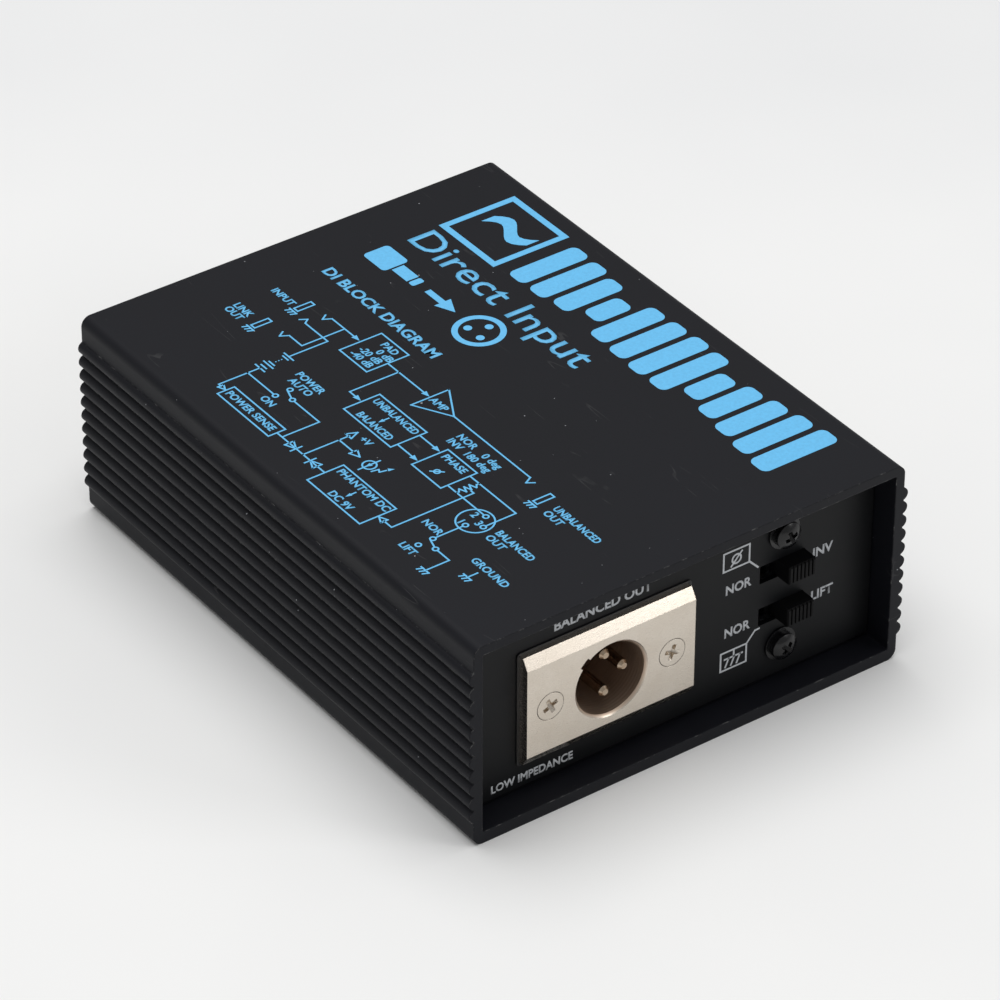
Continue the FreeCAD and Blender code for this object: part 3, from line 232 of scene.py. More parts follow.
def zinc_plate():
    """Bright zinc plated steel: cool grey with a crystalline spangle."""
    material, tree, place = start_finish("zinc_plate", Metallic=1.0)
    spangle = add(tree, VORONOI, {"Vector": place, "Scale": per_mm(1.6)})
    tone = add(tree, MIX, {0: spangle.outputs["Distance"], A: linear("#B4B8BC"), B: linear("#8E9398")},
               data_type="RGBA")
    gloss = add(tree, RANGE, {"Value": spangle.outputs["Distance"], "To Min": 0.25, "To Max": 0.45})
    return finished(material, Base_Color=tone.outputs[MIXED], Roughness=gloss.outputs["Result"])


def black_zinc():
    """Black passivated screws: an oily black, glossy on the rolled dome and duller in patches."""
    material, tree, place = start_finish("black_zinc", Specular_IOR_Level=0.32, Coat_Weight=0.15,
                                         Coat_Roughness=0.06)
    patch_noise = add(tree, NOISE, {"Vector": place, "Scale": per_mm(0.9), "Detail": 4.0})
    edge = add(tree, BEVEL, {"Radius": 0.15 * MM}, samples=4)
    tone = add(tree, MIX, {0: patch_noise.outputs["Fac"], A: linear("#050506"), B: linear("#101013")},
               data_type="RGBA")
    gloss = add(tree, RANGE, {"Value": patch_noise.outputs["Fac"], "To Min": 0.12, "To Max": 0.34})
    rise = add(tree, BUMP, {"Height": patch_noise.outputs["Fac"], "Normal": edge.outputs["Normal"],
                            "Strength": 0.2, "Distance": 0.02 * MM})
    return finished(material, Base_Color=tone.outputs[MIXED], Roughness=gloss.outputs["Result"],
                    Normal=rise.outputs["Normal"])


def contact_plate():
    """Silver plated brass contacts: bright, with a warm tarnish in patches."""
    material, tree, place = start_finish("contact_plate", Metallic=1.0)
    tarnish_and_painted_reflection = add(tree, NOISE, {"Vector": place, "Scale": per_mm(1.1), "Detail": 3.0})
    tone = add(tree, MIX, {0: tarnish_and_painted_reflection.outputs["Fac"], A: linear("#C9BBA8"), B: linear("#93765A")},
               data_type="RGBA")
    gloss = add(tree, RANGE, {"Value": tarnish_and_painted_reflection.outputs["Fac"], "To Min": 0.12, "To Max": 0.3})
    return finished(material, Base_Color=tone.outputs[MIXED], Roughness=gloss.outputs["Result"])


def moulded_plastic(name, low, high, grain_mm=0.18, gloss_low=0.38, gloss_high=0.55, specular=0.35):
    """Injection moulded plastic: a spark-eroded grain over a slow change of tone."""
    material, tree, place = start_finish(name, Specular_IOR_Level=specular)
    grain = add(tree, NOISE, {"Vector": place, "Scale": per_mm(grain_mm), "Detail": 2.0})
    flow = add(tree, NOISE, {"Vector": place, "Scale": per_mm(6), "Detail": 3.0})
    edge = add(tree, BEVEL, {"Radius": 0.18 * MM}, samples=4)
    tone = add(tree, MIX, {0: flow.outputs["Fac"], A: linear(low), B: linear(high)}, data_type="RGBA")
    gloss = add(tree, RANGE, {"Value": flow.outputs["Fac"], "To Min": gloss_low, "To Max": gloss_high})
    rise = add(tree, BUMP, {"Height": grain.outputs["Fac"], "Normal": edge.outputs["Normal"],
                            "Strength": 0.3, "Distance": 0.02 * MM})
    return finished(material, Base_Color=tone.outputs[MIXED], Roughness=gloss.outputs["Result"],
                    Normal=rise.outputs["Normal"])


def lamp_lens():
    """Clear red epoxy of a lamp, with slow clouding inside."""
    material, tree, place = start_finish("lamp_epoxy", Roughness=0.08, Transmission_Weight=0.35, IOR=1.5)
    cloud = add(tree, NOISE, {"Vector": place, "Scale": per_mm(1.4)})
    tone = add(tree, MIX, {0: cloud.outputs["Fac"], A: linear("#7A0A10"), B: linear("#C21A1E")},
               data_type="RGBA")
    return finished(material, Base_Color=tone.outputs[MIXED])


def solder_mask():
    """Green solder mask on a fibreglass board: copper tracks show as paler raised lines."""
    material, tree, place = start_finish("solder_mask", Coat_Weight=0.3)
    tracks = add(tree, "ShaderNodeTexBrick", {"Vector": place, "Scale": per_mm(9), "Mortar Size": 0.035,
                                              "Color1": linear("#0F3A22"), "Color2": linear("#124428"),
                                              "Mortar": linear("#2C6B41")})
    weave = add(tree, NOISE, {"Vector": place, "Scale": per_mm(0.8)})
    gloss = add(tree, RANGE, {"Value": weave.outputs["Fac"], "To Min": 0.25, "To Max": 0.4})
    rise = add(tree, BUMP, {"Height": tracks.outputs["Fac"], "Strength": 0.4, "Distance": 0.03 * MM})
    return finished(material, Base_Color=tracks.outputs["Color"], Roughness=gloss.outputs["Result"],
                    Normal=rise.outputs["Normal"])


def banded(name, ground, bands, pitch_mm, gloss):
    """Lacquer or shrink sleeve with printed bands along X."""
    material, tree, place = start_finish(name, Roughness=gloss)
    stripe = add(tree, WAVE, {"Vector": place, "Scale": bands_per_mm(pitch_mm)})
    mask = add(tree, RANGE, {"Value": stripe.outputs["Fac"], "From Min": 0.8, "From Max": 0.84})
    tone = add(tree, MIX, {0: mask.outputs["Result"], A: linear(ground), B: linear(bands)},
               data_type="RGBA")
    return finished(material, Base_Color=tone.outputs[MIXED])


def foam():
    """Open-cell polyurethane foam: painted shade darkens the pits between pale ligaments."""
    material, tree, place = start_finish("polyurethane_foam", Roughness=0.95)
    cells = add(tree, VORONOI, {"Vector": place, "Scale": per_mm(0.9)})
    # painted shade: the colour darkens towards each cell's hollow middle
    tone = add(tree, MIX, {0: cells.outputs["Distance"], A: linear("#1A1A1C"), B: linear("#4A4A4E")},
               data_type="RGBA")
    rise = add(tree, BUMP, {"Height": cells.outputs["Distance"], "Strength": 0.8, "Distance": 0.2 * MM})
    return finished(material, Base_Color=tone.outputs[MIXED], Normal=rise.outputs["Normal"])


def screen_ink(name, colour):
    """Screen printing ink: a flat, slightly chalky film that thins here and there."""
    material, tree, place = start_finish(name)
    film = add(tree, NOISE, {"Vector": place, "Scale": per_mm(0.7), "Detail": 3.0})
    thin = add(tree, RANGE, {"Value": film.outputs["Fac"], "From Min": 0.3, "From Max": 0.75, "To Min": 0.0,
                             "To Max": 0.14})
    tone = add(tree, MIX, {0: thin.outputs["Result"], A: linear(colour), B: linear("#2A3038")},
               data_type="RGBA")
    gloss = add(tree, RANGE, {"Value": film.outputs["Fac"], "To Min": 0.42, "To Max": 0.6})
    return finished(material, Base_Color=tone.outputs[MIXED], Roughness=gloss.outputs["Result"])


def studio_paper(colour):
    """Matt white paper, faintly cockled and mottled, and greyer towards the back as painted shade where the
    light falls off.
    """
    material, tree, place = start_finish("background_paper", Specular_IOR_Level=0.2)
    fibre = add(tree, NOISE, {"Vector": place, "Scale": per_mm(2), "Detail": 5.0})
    cockle = add(tree, NOISE, {"Vector": place, "Scale": per_mm(160), "Detail": 3.0})
    mottle = add(tree, RANGE, {"Value": cockle.outputs["Fac"], "From Min": 0.3, "From Max": 0.7,
                               "To Min": 0.0, "To Max": 0.25})
    axes = add(tree, "ShaderNodeSeparateXYZ", {"Vector": place})
    # painted shade: the paper greys with distance behind the box, standing in for the light falling off
    behind = add(tree, MATH, {0: axes.outputs["X"], 1: axes.outputs["Y"]}, operation="ADD")
    painted_falloff = add(tree, RANGE, {"Value": behind.outputs["Value"], "From Min": 0.1, "From Max": 0.6,
                              "To Min": 0.0, "To Max": 0.75})
    grey = add(tree, MATH, {0: mottle.outputs["Result"], 1: painted_falloff.outputs["Result"]}, operation="ADD",
               use_clamp=True)
    tone = add(tree, MIX, {0: grey.outputs["Value"], A: linear(colour), B: linear("#D6D7D9")},
               data_type="RGBA")
    rough = add(tree, RANGE, {"Value": fibre.outputs["Fac"], "To Min": 0.75, "To Max": 0.9})
    rise = add(tree, BUMP, {"Height": cockle.outputs["Fac"], "Strength": 0.3, "Distance": 2 * MM})
    return finished(material, Base_Color=tone.outputs[MIXED], Roughness=rough.outputs["Result"],
                    Normal=rise.outputs["Normal"])


# --- screen printing: drawn flat in millimetres, then laid on its face ----------------------------

def open_artwork():
    """Start an empty mesh in edit mode, for shapes to be added to."""
    bpy.ops.object.select_all(action="DESELECT")
    bpy.ops.mesh.primitive_plane_add(size=1)
    bpy.ops.object.mode_set(mode="EDIT")
    bpy.ops.mesh.select_mode(type="FACE")
    bpy.ops.mesh.select_all(action="SELECT")
    bpy.ops.mesh.delete(type="VERT")
    return bpy.context.object


def patch(size, middle, angle=0.0, corner=0.0, lift=0.0):
    """A filled rectangle about its middle, turned by an angle in radians, its corners rounded if asked."""
    at = (*middle, lift)
    bpy.ops.mesh.primitive_plane_add(size=1, location=at)
    bpy.ops.transform.resize(value=(*size, 1), center_override=at)
    if corner:
        bpy.ops.mesh.bevel(affect="VERTICES", offset=corner, offset_type="OFFSET", segments=6)
    if angle:
        bpy.ops.transform.rotate(value=-angle, orient_axis="Z", center_override=at)


def strip(start, end, width, lift=LIFT):
    """A straight line of ink, squared off past both ends, a hair above the outlines it may cross."""
    run = Vector(end) - Vector(start)
    middle = (Vector(start) + Vector(end)) / 2
    patch((run.length + width, width), middle, math.atan2(run.y, run.x), lift=lift)


def path(points, width):
    """Lines of ink through points; every second one lies a hair higher, so that none share a face."""
    for i, (start, end) in enumerate(zip(points, points[1:])):
        strip(start, end, width, LIFT * (1 + i % 2))


def bar(low, high, corner=0.0):
    """A filled rectangle between two corners."""
    size = (high[0] - low[0], high[1] - low[1])
    middle = ((low[0] + high[0]) / 2, (low[1] + high[1]) / 2)
    patch(size, middle, corner=corner)


def hollow(width):
    """Turn the selected face into a frame of that width."""
    bpy.ops.mesh.inset(thickness=width, depth=0)
    bpy.ops.mesh.delete(type="FACE")


def box_outline(low, high, width):
    """A rectangle in outline."""
    bar(low, high)
    hollow(width)


def ring(centre, radius, width):
    """A circle in outline."""
    bpy.ops.mesh.primitive_circle_add(vertices=40, radius=radius, fill_type="NGON", location=(*centre, 0))
    hollow(width)


def dot(centre, radius):
    """A filled circle."""
    bpy.ops.mesh.primitive_circle_add(vertices=24, radius=radius, fill_type="NGON", location=(*centre, 0))


def arrow_head(tip, angle, size, slimness=0.6):
    """A filled arrow head whose tip is at a point; the angle is the way it points, in degrees."""
    turn = math.radians(angle)
    at = (tip[0] - size * math.cos(turn), tip[1] - size * math.sin(turn), 3 * LIFT)
    bpy.ops.mesh.primitive_circle_add(vertices=3, radius=size, fill_type="NGON", location=at)
    bpy.ops.transform.resize(value=(slimness, 1, 1), center_override=at)
    bpy.ops.transform.rotate(value=math.pi / 2 - turn, orient_axis="Z", center_override=at)


def open_arrow(tip, angle, size, width):
    """An arrow head in outline."""
    turn = math.radians(angle)
    ahead, aside = Vector((math.cos(turn), math.sin(turn))), Vector((-math.sin(turn), math.cos(turn)))
    back = Vector(tip) - ahead * size
    left, right = back + aside * size * 0.45, back - aside * size * 0.45
    path([left, tip, right, left], width)


def ground_mark(top, width):
    """The chassis ground symbol hanging from a point."""
    u, v = top
    strip((u - 1.2, v), (u + 1.2, v), width)
    for i in range(3):
        foot = u - 1.1 + i * 0.95
        strip((foot + 0.5, v), (foot, v - 1.1), width, 2 * LIFT)


def lettering(words, corner, cap_height, weight, width=None, align="LEFT"):
    """Words with their baseline's start, or middle, at a point, and a set height of capitals."""
    bpy.ops.object.text_add()
    text = bpy.context.object
    text.data.body = words
    text.data.align_x = align
    text.data.resolution_u = 3
    text.data.offset = weight
    bpy.ops.object.convert(target="MESH")
    reach = [point[0] for point in text.bound_box]
    scale = cap_height / CAPITAL
    text.scale = (width / (max(reach) - min(reach)) if width else scale, scale, 1)
    text.location = (*corner, 0)
    bpy.ops.object.transform_apply(location=True, rotation=True, scale=True)
    return text


def lay_print(parts, name, ink, rotation, origin, film, body="housing"):
    """Join flat artwork, lay it on its face and give it the thickness of the ink."""
    bpy.ops.object.mode_set(mode="OBJECT")
    bpy.ops.object.select_all(action="DESELECT")
    for part in parts:
        part.select_set(True)
    bpy.context.view_layer.objects.active = parts[0]
    if len(parts) > 1:
        bpy.ops.object.join()
    art = bpy.context.object
    art.name = name
    art.data.name = name
    for face in art.data.polygons:
        face.select = face.normal.z < 0
    bpy.ops.object.mode_set(mode="EDIT")
    bpy.ops.mesh.flip_normals()
    bpy.ops.object.mode_set(mode="OBJECT")
    art.scale = (MM, MM, MM)
    art.rotation_euler = rotation
    art.location = origin
    bpy.ops.object.transform_apply(location=True, rotation=True, scale=True)
    thicken = art.modifiers.new("ink_film", "SOLIDIFY")
    thicken.thickness = film * MM
    thicken.offset = 1.0
    bpy.ops.object.modifier_apply(modifier=thicken.name)
    art.data.materials.clear()
    art.data.materials.append(ink)
    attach(art, body)
    return art


# How each face's artwork is turned, and where its zero goes
TOP = {"rotation": (0, 0, -math.pi / 2), "origin": (0, 0, SLEEVE_HIGH[2])}
OUTPUT = {"rotation": (math.pi / 2, 0, 0), "origin": (0, OUTPUT_FACE, 0)}
INPUT = {"rotation": (math.pi / 2, 0, math.pi), "origin": (0, INPUT_FACE, 0)}


# --- settings -------------------------------------------------------------------------------------

def colour(name, description, default):
    """A setting that holds an sRGB hex colour."""
    return bpy.props.StringProperty(name=name, description=description, default=default)


def number(name, description, default):
    """A setting that holds a size, a power or a brightness."""
    return bpy.props.FloatProperty(name=name, description=description, default=default, min=0.0)


class DIBoxFinishes(bpy.types.PropertyGroup):
    """Colours of the paint, the metal and the inks, as sRGB hex."""
    enamel_low: colour("Enamel, dark", "Darker tone of the sleeve's enamel", "#0B0C11")
    enamel_high: colour("Enamel, pale", "Paler tone of the sleeve's enamel", "#111219")
    panel_low: colour("Panel, dark", "Darker tone of the chassis enamel", "#060709")
    panel_high: colour("Panel, pale", "Paler tone of the chassis enamel", "#0B0C0F")
    bare_metal: colour("Bare metal", "Aluminium where the enamel has rubbed off", "#9A9A98")
    dust: colour("Dust", "Specks of dust on the enamel", "#8C8E92")
    nickel_low: colour("Nickel, dark", "Darker tone of the nickel plate", "#CFC4B6")
    nickel_high: colour("Nickel, pale", "Paler tone of the nickel plate", "#DDD4C8")
    blue_ink: colour("Blue ink", "Ink on the top", "#62B9EA")
    grey_ink: colour("Grey ink", "Ink on the panels", "#B9BCC0")
    paper: colour("Paper", "Background paper", "#EDEDEC")


class DIBoxPrint(bpy.types.PropertyGroup):
    """Sizes of the screen printing, in millimetres."""
    film: number("Ink film", "Thickness of the ink, mm", 0.03)
    line: number("Diagram line", "Width of the diagram's lines, mm", 0.36)
    small_cap: number("Small capitals", "Height of the diagram's capitals, mm", 1.7)
    legend_cap: number("Legend capitals", "Height of the panel legends' capitals, mm", 2.1)
    legend_line: number("Legend line", "Width of the panel legends' lines, mm", 0.4)
    # the black frame round the connector's flange is a painted shadow line, not a real gasket
    shadowline_margin: number("Shadowline margin", "Shadowline past the connector's flange, mm", 0.7)
    shadowline_thickness: number("Shadowline thickness", "Thickness of the connector's gasket, mm", 0.35)
    bar_count: bpy.props.IntProperty(name="Bars", description="Bars in the level motif", default=13, min=3)


class DIBoxStage(bpy.types.PropertyGroup):
    """The camera and the lights."""
    azimuth: bpy.props.FloatProperty(name="Azimuth", description="View direction from +Y towards +X",
                                     default=math.radians(35.9), subtype="ANGLE")
    elevation: bpy.props.FloatProperty(name="Elevation", description="How steeply the camera looks down",
                                       default=math.radians(35.6), subtype="ANGLE")
    roll: bpy.props.FloatProperty(name="Roll", description="Camera roll", default=math.radians(0.226),
                                  subtype="ANGLE")
    distance: bpy.props.FloatProperty(name="Distance", description="From the camera to its target",
                                      default=1.122, unit="LENGTH")
    lens: number("Lens", "Focal length, mm on a 36 mm sensor", 201.9)
    key_power: number("Key", "Power of the overhead softbox, W", 14.5)
    fill_power: number("Fill", "Power of the front softbox, W", 5.0)
    sky: number("Room", "Brightness of the white room", 0.41)


# --- operators: finishes on the CAD pieces --------------------------------------------------------

class DIBOX_OT_finish_enclosure(bpy.types.Operator):
    """Enamel the sleeve and the chassis and blacken their screws"""
    bl_idname = "dibox.finish_enclosure"
    bl_label = "Enclosure finishes"

    def execute(self, context):
        colours = context.scene.dibox_finishes
        dress(["sleeve"], baked_enamel(colours))
        dress(["chassis"], panel_enamel(colours))
        dress(["case_screws", "bracket_screws", "bracket_washers"], black_zinc())
        dress(["case_inserts", "board_standoffs", "board_screws", "xlr_nuts", "output_switch_bracket",
               "input_switch_bracket"], zinc_plate())
        return {"FINISHED"}


class DIBOX_OT_finish_connector(bpy.types.Operator):
    """Plate the XLR shell and its pins and mould its insert"""
    bl_idname = "dibox.finish_connector"
    bl_label = "Connector finishes"

    def execute(self, context):
        colours = context.scene.dibox_finishes
        dress(["xlr_shell", "xlr_screws"], nickel_plate(colours))
        dress(["jack_bushings", "jack_nuts", "jack_washers"], turned_nickel(colours))
        dress(["xlr_pin_1", "xlr_pin_2", "xlr_pin_3", "switch_terminals", "jack_springs", "jack_terminals",
               "chip_legs"], contact_plate())
        dress(["xlr_insert"], moulded_plastic("phenolic_moulding", "#4A3328", "#5F4536", gloss_low=0.3,
                                              gloss_high=0.45))
        return {"FINISHED"}


class DIBOX_OT_finish_switches(bpy.types.Operator):
    """Finish the four slide switches, the jack bodies and the lamp"""
    bl_idname = "dibox.finish_switches"
    bl_label = "Switch, jack and lamp finishes"

    def execute(self, context):
        switches = [f"{name}_switch" for name in ("phase", "ground", "attenuator", "power")]
        abs_plastic = moulded_plastic("abs_moulding", "#050506", "#09090B", gloss_low=0.5,
                                      gloss_high=0.65, specular=0.12)
        dress([f"{name}_slider" for name in switches], abs_plastic)
        dress(["input_jack", "parallel_jack", "unbalanced_jack", "lamp_holder", "battery_box",
               "battery_door"], abs_plastic)
        dress([f"{name}_can" for name in switches], zinc_plate())
        dress([f"{name}_contact" for name in switches], contact_plate())
        dress([f"{name}_base" for name in switches],
              moulded_plastic("phenolic_sheet", "#3B2416", "#4C301F"))
        dress(["lamp"], lamp_lens())
        return {"FINISHED"}


class DIBOX_OT_finish_electronics(bpy.types.Operator):
    """Finish the circuit board, its components, the battery and the leads"""
    bl_idname = "dibox.finish_electronics"
    bl_label = "Board and battery finishes"

    def execute(self, context):
        dress(["main_board"], solder_mask())
        dress(["amplifier_chips", "transistors"], moulded_plastic("moulded_epoxy", "#101012", "#1B1B1D"))
        dress(["electrolytic_capacitors"], banded("shrink_sleeve", "#14224F", "#9FA8C4", 3.0, 0.35))
        dress(["film_capacitors"], moulded_plastic("dipped_epoxy", "#8C5A12", "#B07A1E", 0.6, 0.2, 0.35))
        dress(["resistors"], banded("resistor_lacquer", "#B49A72", "#7A3B1E", 1.5, 0.4))
        dress(["converter_coil"], moulded_plastic("ferrite", "#1B1B1E", "#2B2B2F", 0.4, 0.6, 0.8))
        dress(["battery"], banded("printed_steel_jacket", "#2A2C30", "#B08A3A", 24.0, 0.3))
        dress(["battery_pad"], foam())
        dress(["battery_snap", "battery_lead_black"], moulded_plastic("black_vinyl", "#0E0E0F", "#19191A"))
        dress(["battery_lead_red"], moulded_plastic("red_vinyl", "#6E0F10", "#8E1717"))
        dress(["output_leads"], moulded_plastic("grey_vinyl", "#5E6064", "#7A7C80"))
        return {"FINISHED"}


# --- operators: printing --------------------------------------------------------------------------

class DIBOX_OT_print_title(bpy.types.Operator):
    """Print the emblem, the level motif and the title on the top"""
    bl_idname = "dibox.print_title"
    bl_label = "Title print"

    def execute(self, context):
        settings = context.scene.dibox_print
        left, right, low, high = -54.3, 54.5, 27.0, 46.3
        border, gap, rounding = 1.5, 1.5, 1.6
        art = open_artwork()

        box_outline((left, low), (left + high - low, high), border)
        middle = (low + high) / 2
        first = left + high - low + 3.4
        pitch = (right - first + gap) / settings.bar_count
        for i in range(settings.bar_count):
            # an uneven row, as on a level meter
            swing = abs(math.sin(1.9 * i + 0.5)) * 0.35 + abs(math.cos(0.55 * i)) * 0.65
            half = (high - low) / 2 * (0.42 + 0.58 * swing)
            start = first + i * pitch
            bar((start, middle - half), (start + pitch - gap, middle + half), rounding)

        self.draw_pictogram(left, 11.05)
        bpy.ops.object.mode_set(mode="OBJECT")
        title = lettering("Direct Input", (left, 18.5), 6.7, 0.006, width=57.8)
        wave = lettering("~", (left + 3.2, middle - 9.4), 27.0, 0.0, width=12.9)
        ink = screen_ink("blue_screen_ink", context.scene.dibox_finishes.blue_ink)
        lay_print([art, title, wave], "top_title", ink, **TOP, film=settings.film)
        return {"FINISHED"}

    @staticmethod
    def draw_pictogram(left, level):
        """A phone plug, an arrow and a three-pin connector."""
        bar((left, level - 3.2), (left + 7.6, level + 3.2), 1.0)
        bar((left + 8.1, level - 1.5), (left + 13.4, level + 1.5))
        bar((left + 13.9, level - 1.5), (left + 15.6, level + 1.5), 0.5)
        strip((left + 19.4, level), (left + 23.2, level), 1.5)
        arrow_head((left + 28.4, level), 0, 3.0, 0.8)
        centre = (left + 36.6, level)
        ring(centre, 5.6, 1.3)
        for angle in (90, 210, 330):
            turn = math.radians(angle)
            dot((centre[0] + 2.5 * math.cos(turn), centre[1] + 2.5 * math.sin(turn)), 0.9)


class DIBOX_OT_print_diagram(bpy.types.Operator):
    """Print the block diagram on the top"""
    bl_idname = "dibox.print_diagram"
    bl_label = "Block diagram print"

    def execute(self, context):
        settings = context.scene.dibox_print
        self.line = settings.line
        art = open_artwork()
        self.draw_jacks()
        self.draw_signal_path()
        self.draw_power()
        self.draw_output()
        bpy.ops.object.mode_set(mode="OBJECT")
        words = [lettering(*label) for label in self.labels(settings.small_cap)]
        ink = screen_ink("blue_line_ink", context.scene.dibox_finishes.blue_ink)
        lay_print([art, *words], "top_diagram", ink, **TOP, film=settings.film)
        return {"FINISHED"}

    def labels(self, cap):
        """Each label's words, place, height and weight."""
        small = [
            ("INPUT", -54.3, -14.8), ("LINK", -54.3, -24.0), ("OUT", -54.3, -26.2),
            ("PAD", -25.2, -8.0), ("0 dB", -23.6, -10.3), ("-20 dB", -26.4, -12.5),
            ("-40 dB", -26.4, -14.7), ("AMP", -3.6, -11.3), ("UNBALANCED", -9.8, -20.6, 14.2),
            ("BALANCED", -8.0, -25.8, 11.0), ("PHASE", 13.6, -20.6), ("NOR    0 deg", 9.7, -14.2),
            ("INV  180 deg", 9.7, -16.6), ("POWER", -26.4, -27.7), ("AUTO", -25.4, -30.1),
            ("ON", -23.6, -38.1), ("POWER SENSE", -28.9, -42.7), ("+V", -0.6, -30.2),
            ("PHANTOM DC", 5.9, -39.9), ("DC 9V", 10.8, -45.4), ("2", 32.6, -27.2), ("3", 35.3, -28.2),
            ("1", 32.8, -30.6), ("NOR", 29.0, -36.1), ("LIFT", 32.4, -43.9),
            ("UNBALANCED", 40.2, -13.2, 14.0), ("OUT", 40.2, -15.6), ("BALANCED", 40.2, -26.8, 11.2),
            ("OUT", 40.2, -29.2), ("GROUND", 44.6, -35.7),
        ]
        titled = [("DI BLOCK DIAGRAM", (-54.3, -2.4), 2.6, WEIGHT, 39.0)]
        return titled + [(words, (u, v), cap, WEIGHT, *width) for words, u, v, *width in small]

    def draw_jacks(self):
        """Input, link and unbalanced output jacks: sleeve, tip contact and ground."""
        for u, v, side in ((-46.2, -14.8, 1), (-46.2, -25.2, 1), (35.8, -14.8, -1)):
            box_outline((u, v), (u + 1.7, v + 4.5), self.line)
            ground_mark((u + 0.85, v - 0.5), self.line)
            tip = u + 5.9 if side > 0 else u - 4.5
            path([(tip, v + 4.0), (tip + 0.95 * side, v + 2.6), (tip + 1.9 * side, v + 4.3)], self.line)
        path([(-42.0, -16.0), (-41.1, -14.6), (-40.2, -15.8), (-32.2, -15.8), (-32.2, -25.2)], self.line)
        path([(-38.4, -20.9), (-33.9, -20.9), (-33.9, -10.5)], self.line)

    def draw_signal_path(self):
        """Pad, amplifier, balancing stage and phase switch."""
        line = self.line
        strip((-38.4, -10.5), (-29.6, -10.5), line)
        arrow_head((-28.7, -10.5), 0, 1.3)
        box_outline((-28.5, -15.8), (-18.6, -5.2), line)
        strip((-18.6, -10.5), (-5.5, -10.5), line)
        arrow_head((-4.4, -10.5), 0, 1.3)
        path([(-4.2, -5.9), (4.0, -10.5), (-4.2, -15.1), (-4.2, -5.9)], line)
        strip((4.0, -10.5), (29.4, -10.5), line)
        path([(-15.0, -10.5), (-15.0, -22.3), (-12.4, -22.3)], line)
        arrow_head((-11.1, -22.3), 0, 1.3)
        box_outline((-11.0, -26.8), (5.5, -17.8), line)
        strip((-3.0, -21.3), (-3.0, -22.6), line)
        arrow_head((-3.0, -23.8), -90, 0.9)
        for level in (-19.7, -25.0):
            strip((5.5, level), (11.0, level), line)
            arrow_head((12.2, level), 0, 1.3)
        box_outline((12.3, -26.8), (22.4, -17.8), line)
        ring((17.3, -24.0), 0.8, line)
        strip((16.4, -25.0), (18.2, -23.0), line)

    def draw_power(self):
        """Battery, power switch, power sensing, diodes, lamp and phantom supply."""
        line = self.line
        plates = ((-25.2, 1.6), (-26.0, 0.9), (-29.3, 0.9), (-30.1, 1.6), (-31.2, 0.9), (-32.1, 1.6))
        for level, half in plates:
            strip((-32.2 - half, level), (-32.2 + half, level), line)
        for level in (-26.9, -27.6, -28.3):
            dot((-32.2, level), 0.16)
        path([(-32.2, -32.1), (-32.2, -41.9), (-31.4, -41.9)], line)
        open_arrow((-29.9, -41.9), 0, 1.6, line)
        strip((-32.2, -35.0), (-23.1, -35.0), line)
        for point in ((-22.4, -35.0), (-22.4, -31.5), (-19.2, -33.1)):
            ring(point, 0.75, line)
        strip((-22.1, -32.2), (-19.9, -32.9), line)
        path([(-18.5, -33.1), (-9.8, -33.1), (-9.8, -41.9)], line)
        box_outline((-29.8, -44.1), (-11.4, -39.7), line)
        strip((-11.4, -41.9), (4.8, -41.9), line)
        open_arrow((-4.9, -41.9), 0, 2.4, line)
        strip((-4.9, -43.2), (-4.9, -40.6), line)
        open_arrow((0.0, -41.9), 180, 2.4, line)
        strip((0.0, -43.2), (0.0, -40.6), line)
        strip((-2.5, -41.9), (-2.5, -31.0), line)
        open_arrow((-2.5, -29.0), 90, 2.2, line)
        strip((-2.5, -33.4), (2.4, -33.4), line)
        open_arrow((4.6, -33.4), 0, 2.2, line)
        ring((7.9, -33.4), 1.6, line)
        strip((7.9, -36.0), (7.9, -30.9), line)
        arrow_head((7.9, -34.5), -90, 1.0)
        path([(9.9, -34.3), (10.2, -32.8), (11.0, -33.2), (11.3, -31.8)], line)
        arrow_head((11.9, -30.2), 65, 0.9)
        box_outline((4.8, -46.2), (23.0, -37.3), line)
        strip((13.9, -40.8), (13.9, -42.0), line)
        arrow_head((13.9, -43.2), -90, 0.9)
        path([(26.4, -22.4), (27.3, -22.4), (27.3, -41.7), (24.7, -41.7)], line)
        open_arrow((23.1, -41.7), 180, 1.8, line)

    def draw_output(self):
        """Phantom feed resistors, the three-pin output and the ground switch."""
        line = self.line
        path([(22.4, -19.7), (37.4, -19.7), (37.4, -26.7)], line)
        strip((22.4, -25.0), (34.2, -25.0), line)
        swings = (0, 1, -1, 1, -1, 1, -1, 0)
        zigzag = [(25.3 + 0.8 * side, -20.3 - i * 0.6) for i, side in enumerate(swings)]
        path([(25.3, -19.7), *zigzag, (25.3, -25.0)], line)
        ring((34.9, -27.5), 4.0, line)
        pins = ((34.9, -25.0), (37.4, -27.4), (34.9, -29.8))
        switch = ((34.9, -37.4), (37.9, -38.9), (34.9, -40.8))
        for point in (*pins, *switch):
            ring(point, 0.75, line)
        strip((34.9, -30.5), (34.9, -36.6), line)
        strip((35.2, -38.1), (37.2, -38.7), line)
        path([(38.7, -38.9), (42.4, -38.9), (42.4, -44.2)], line)
        ground_mark((42.2, -44.4), line)
        strip((48.8, -36.9), (48.8, -39.0), line)
        ground_mark((48.7, -39.2), line)


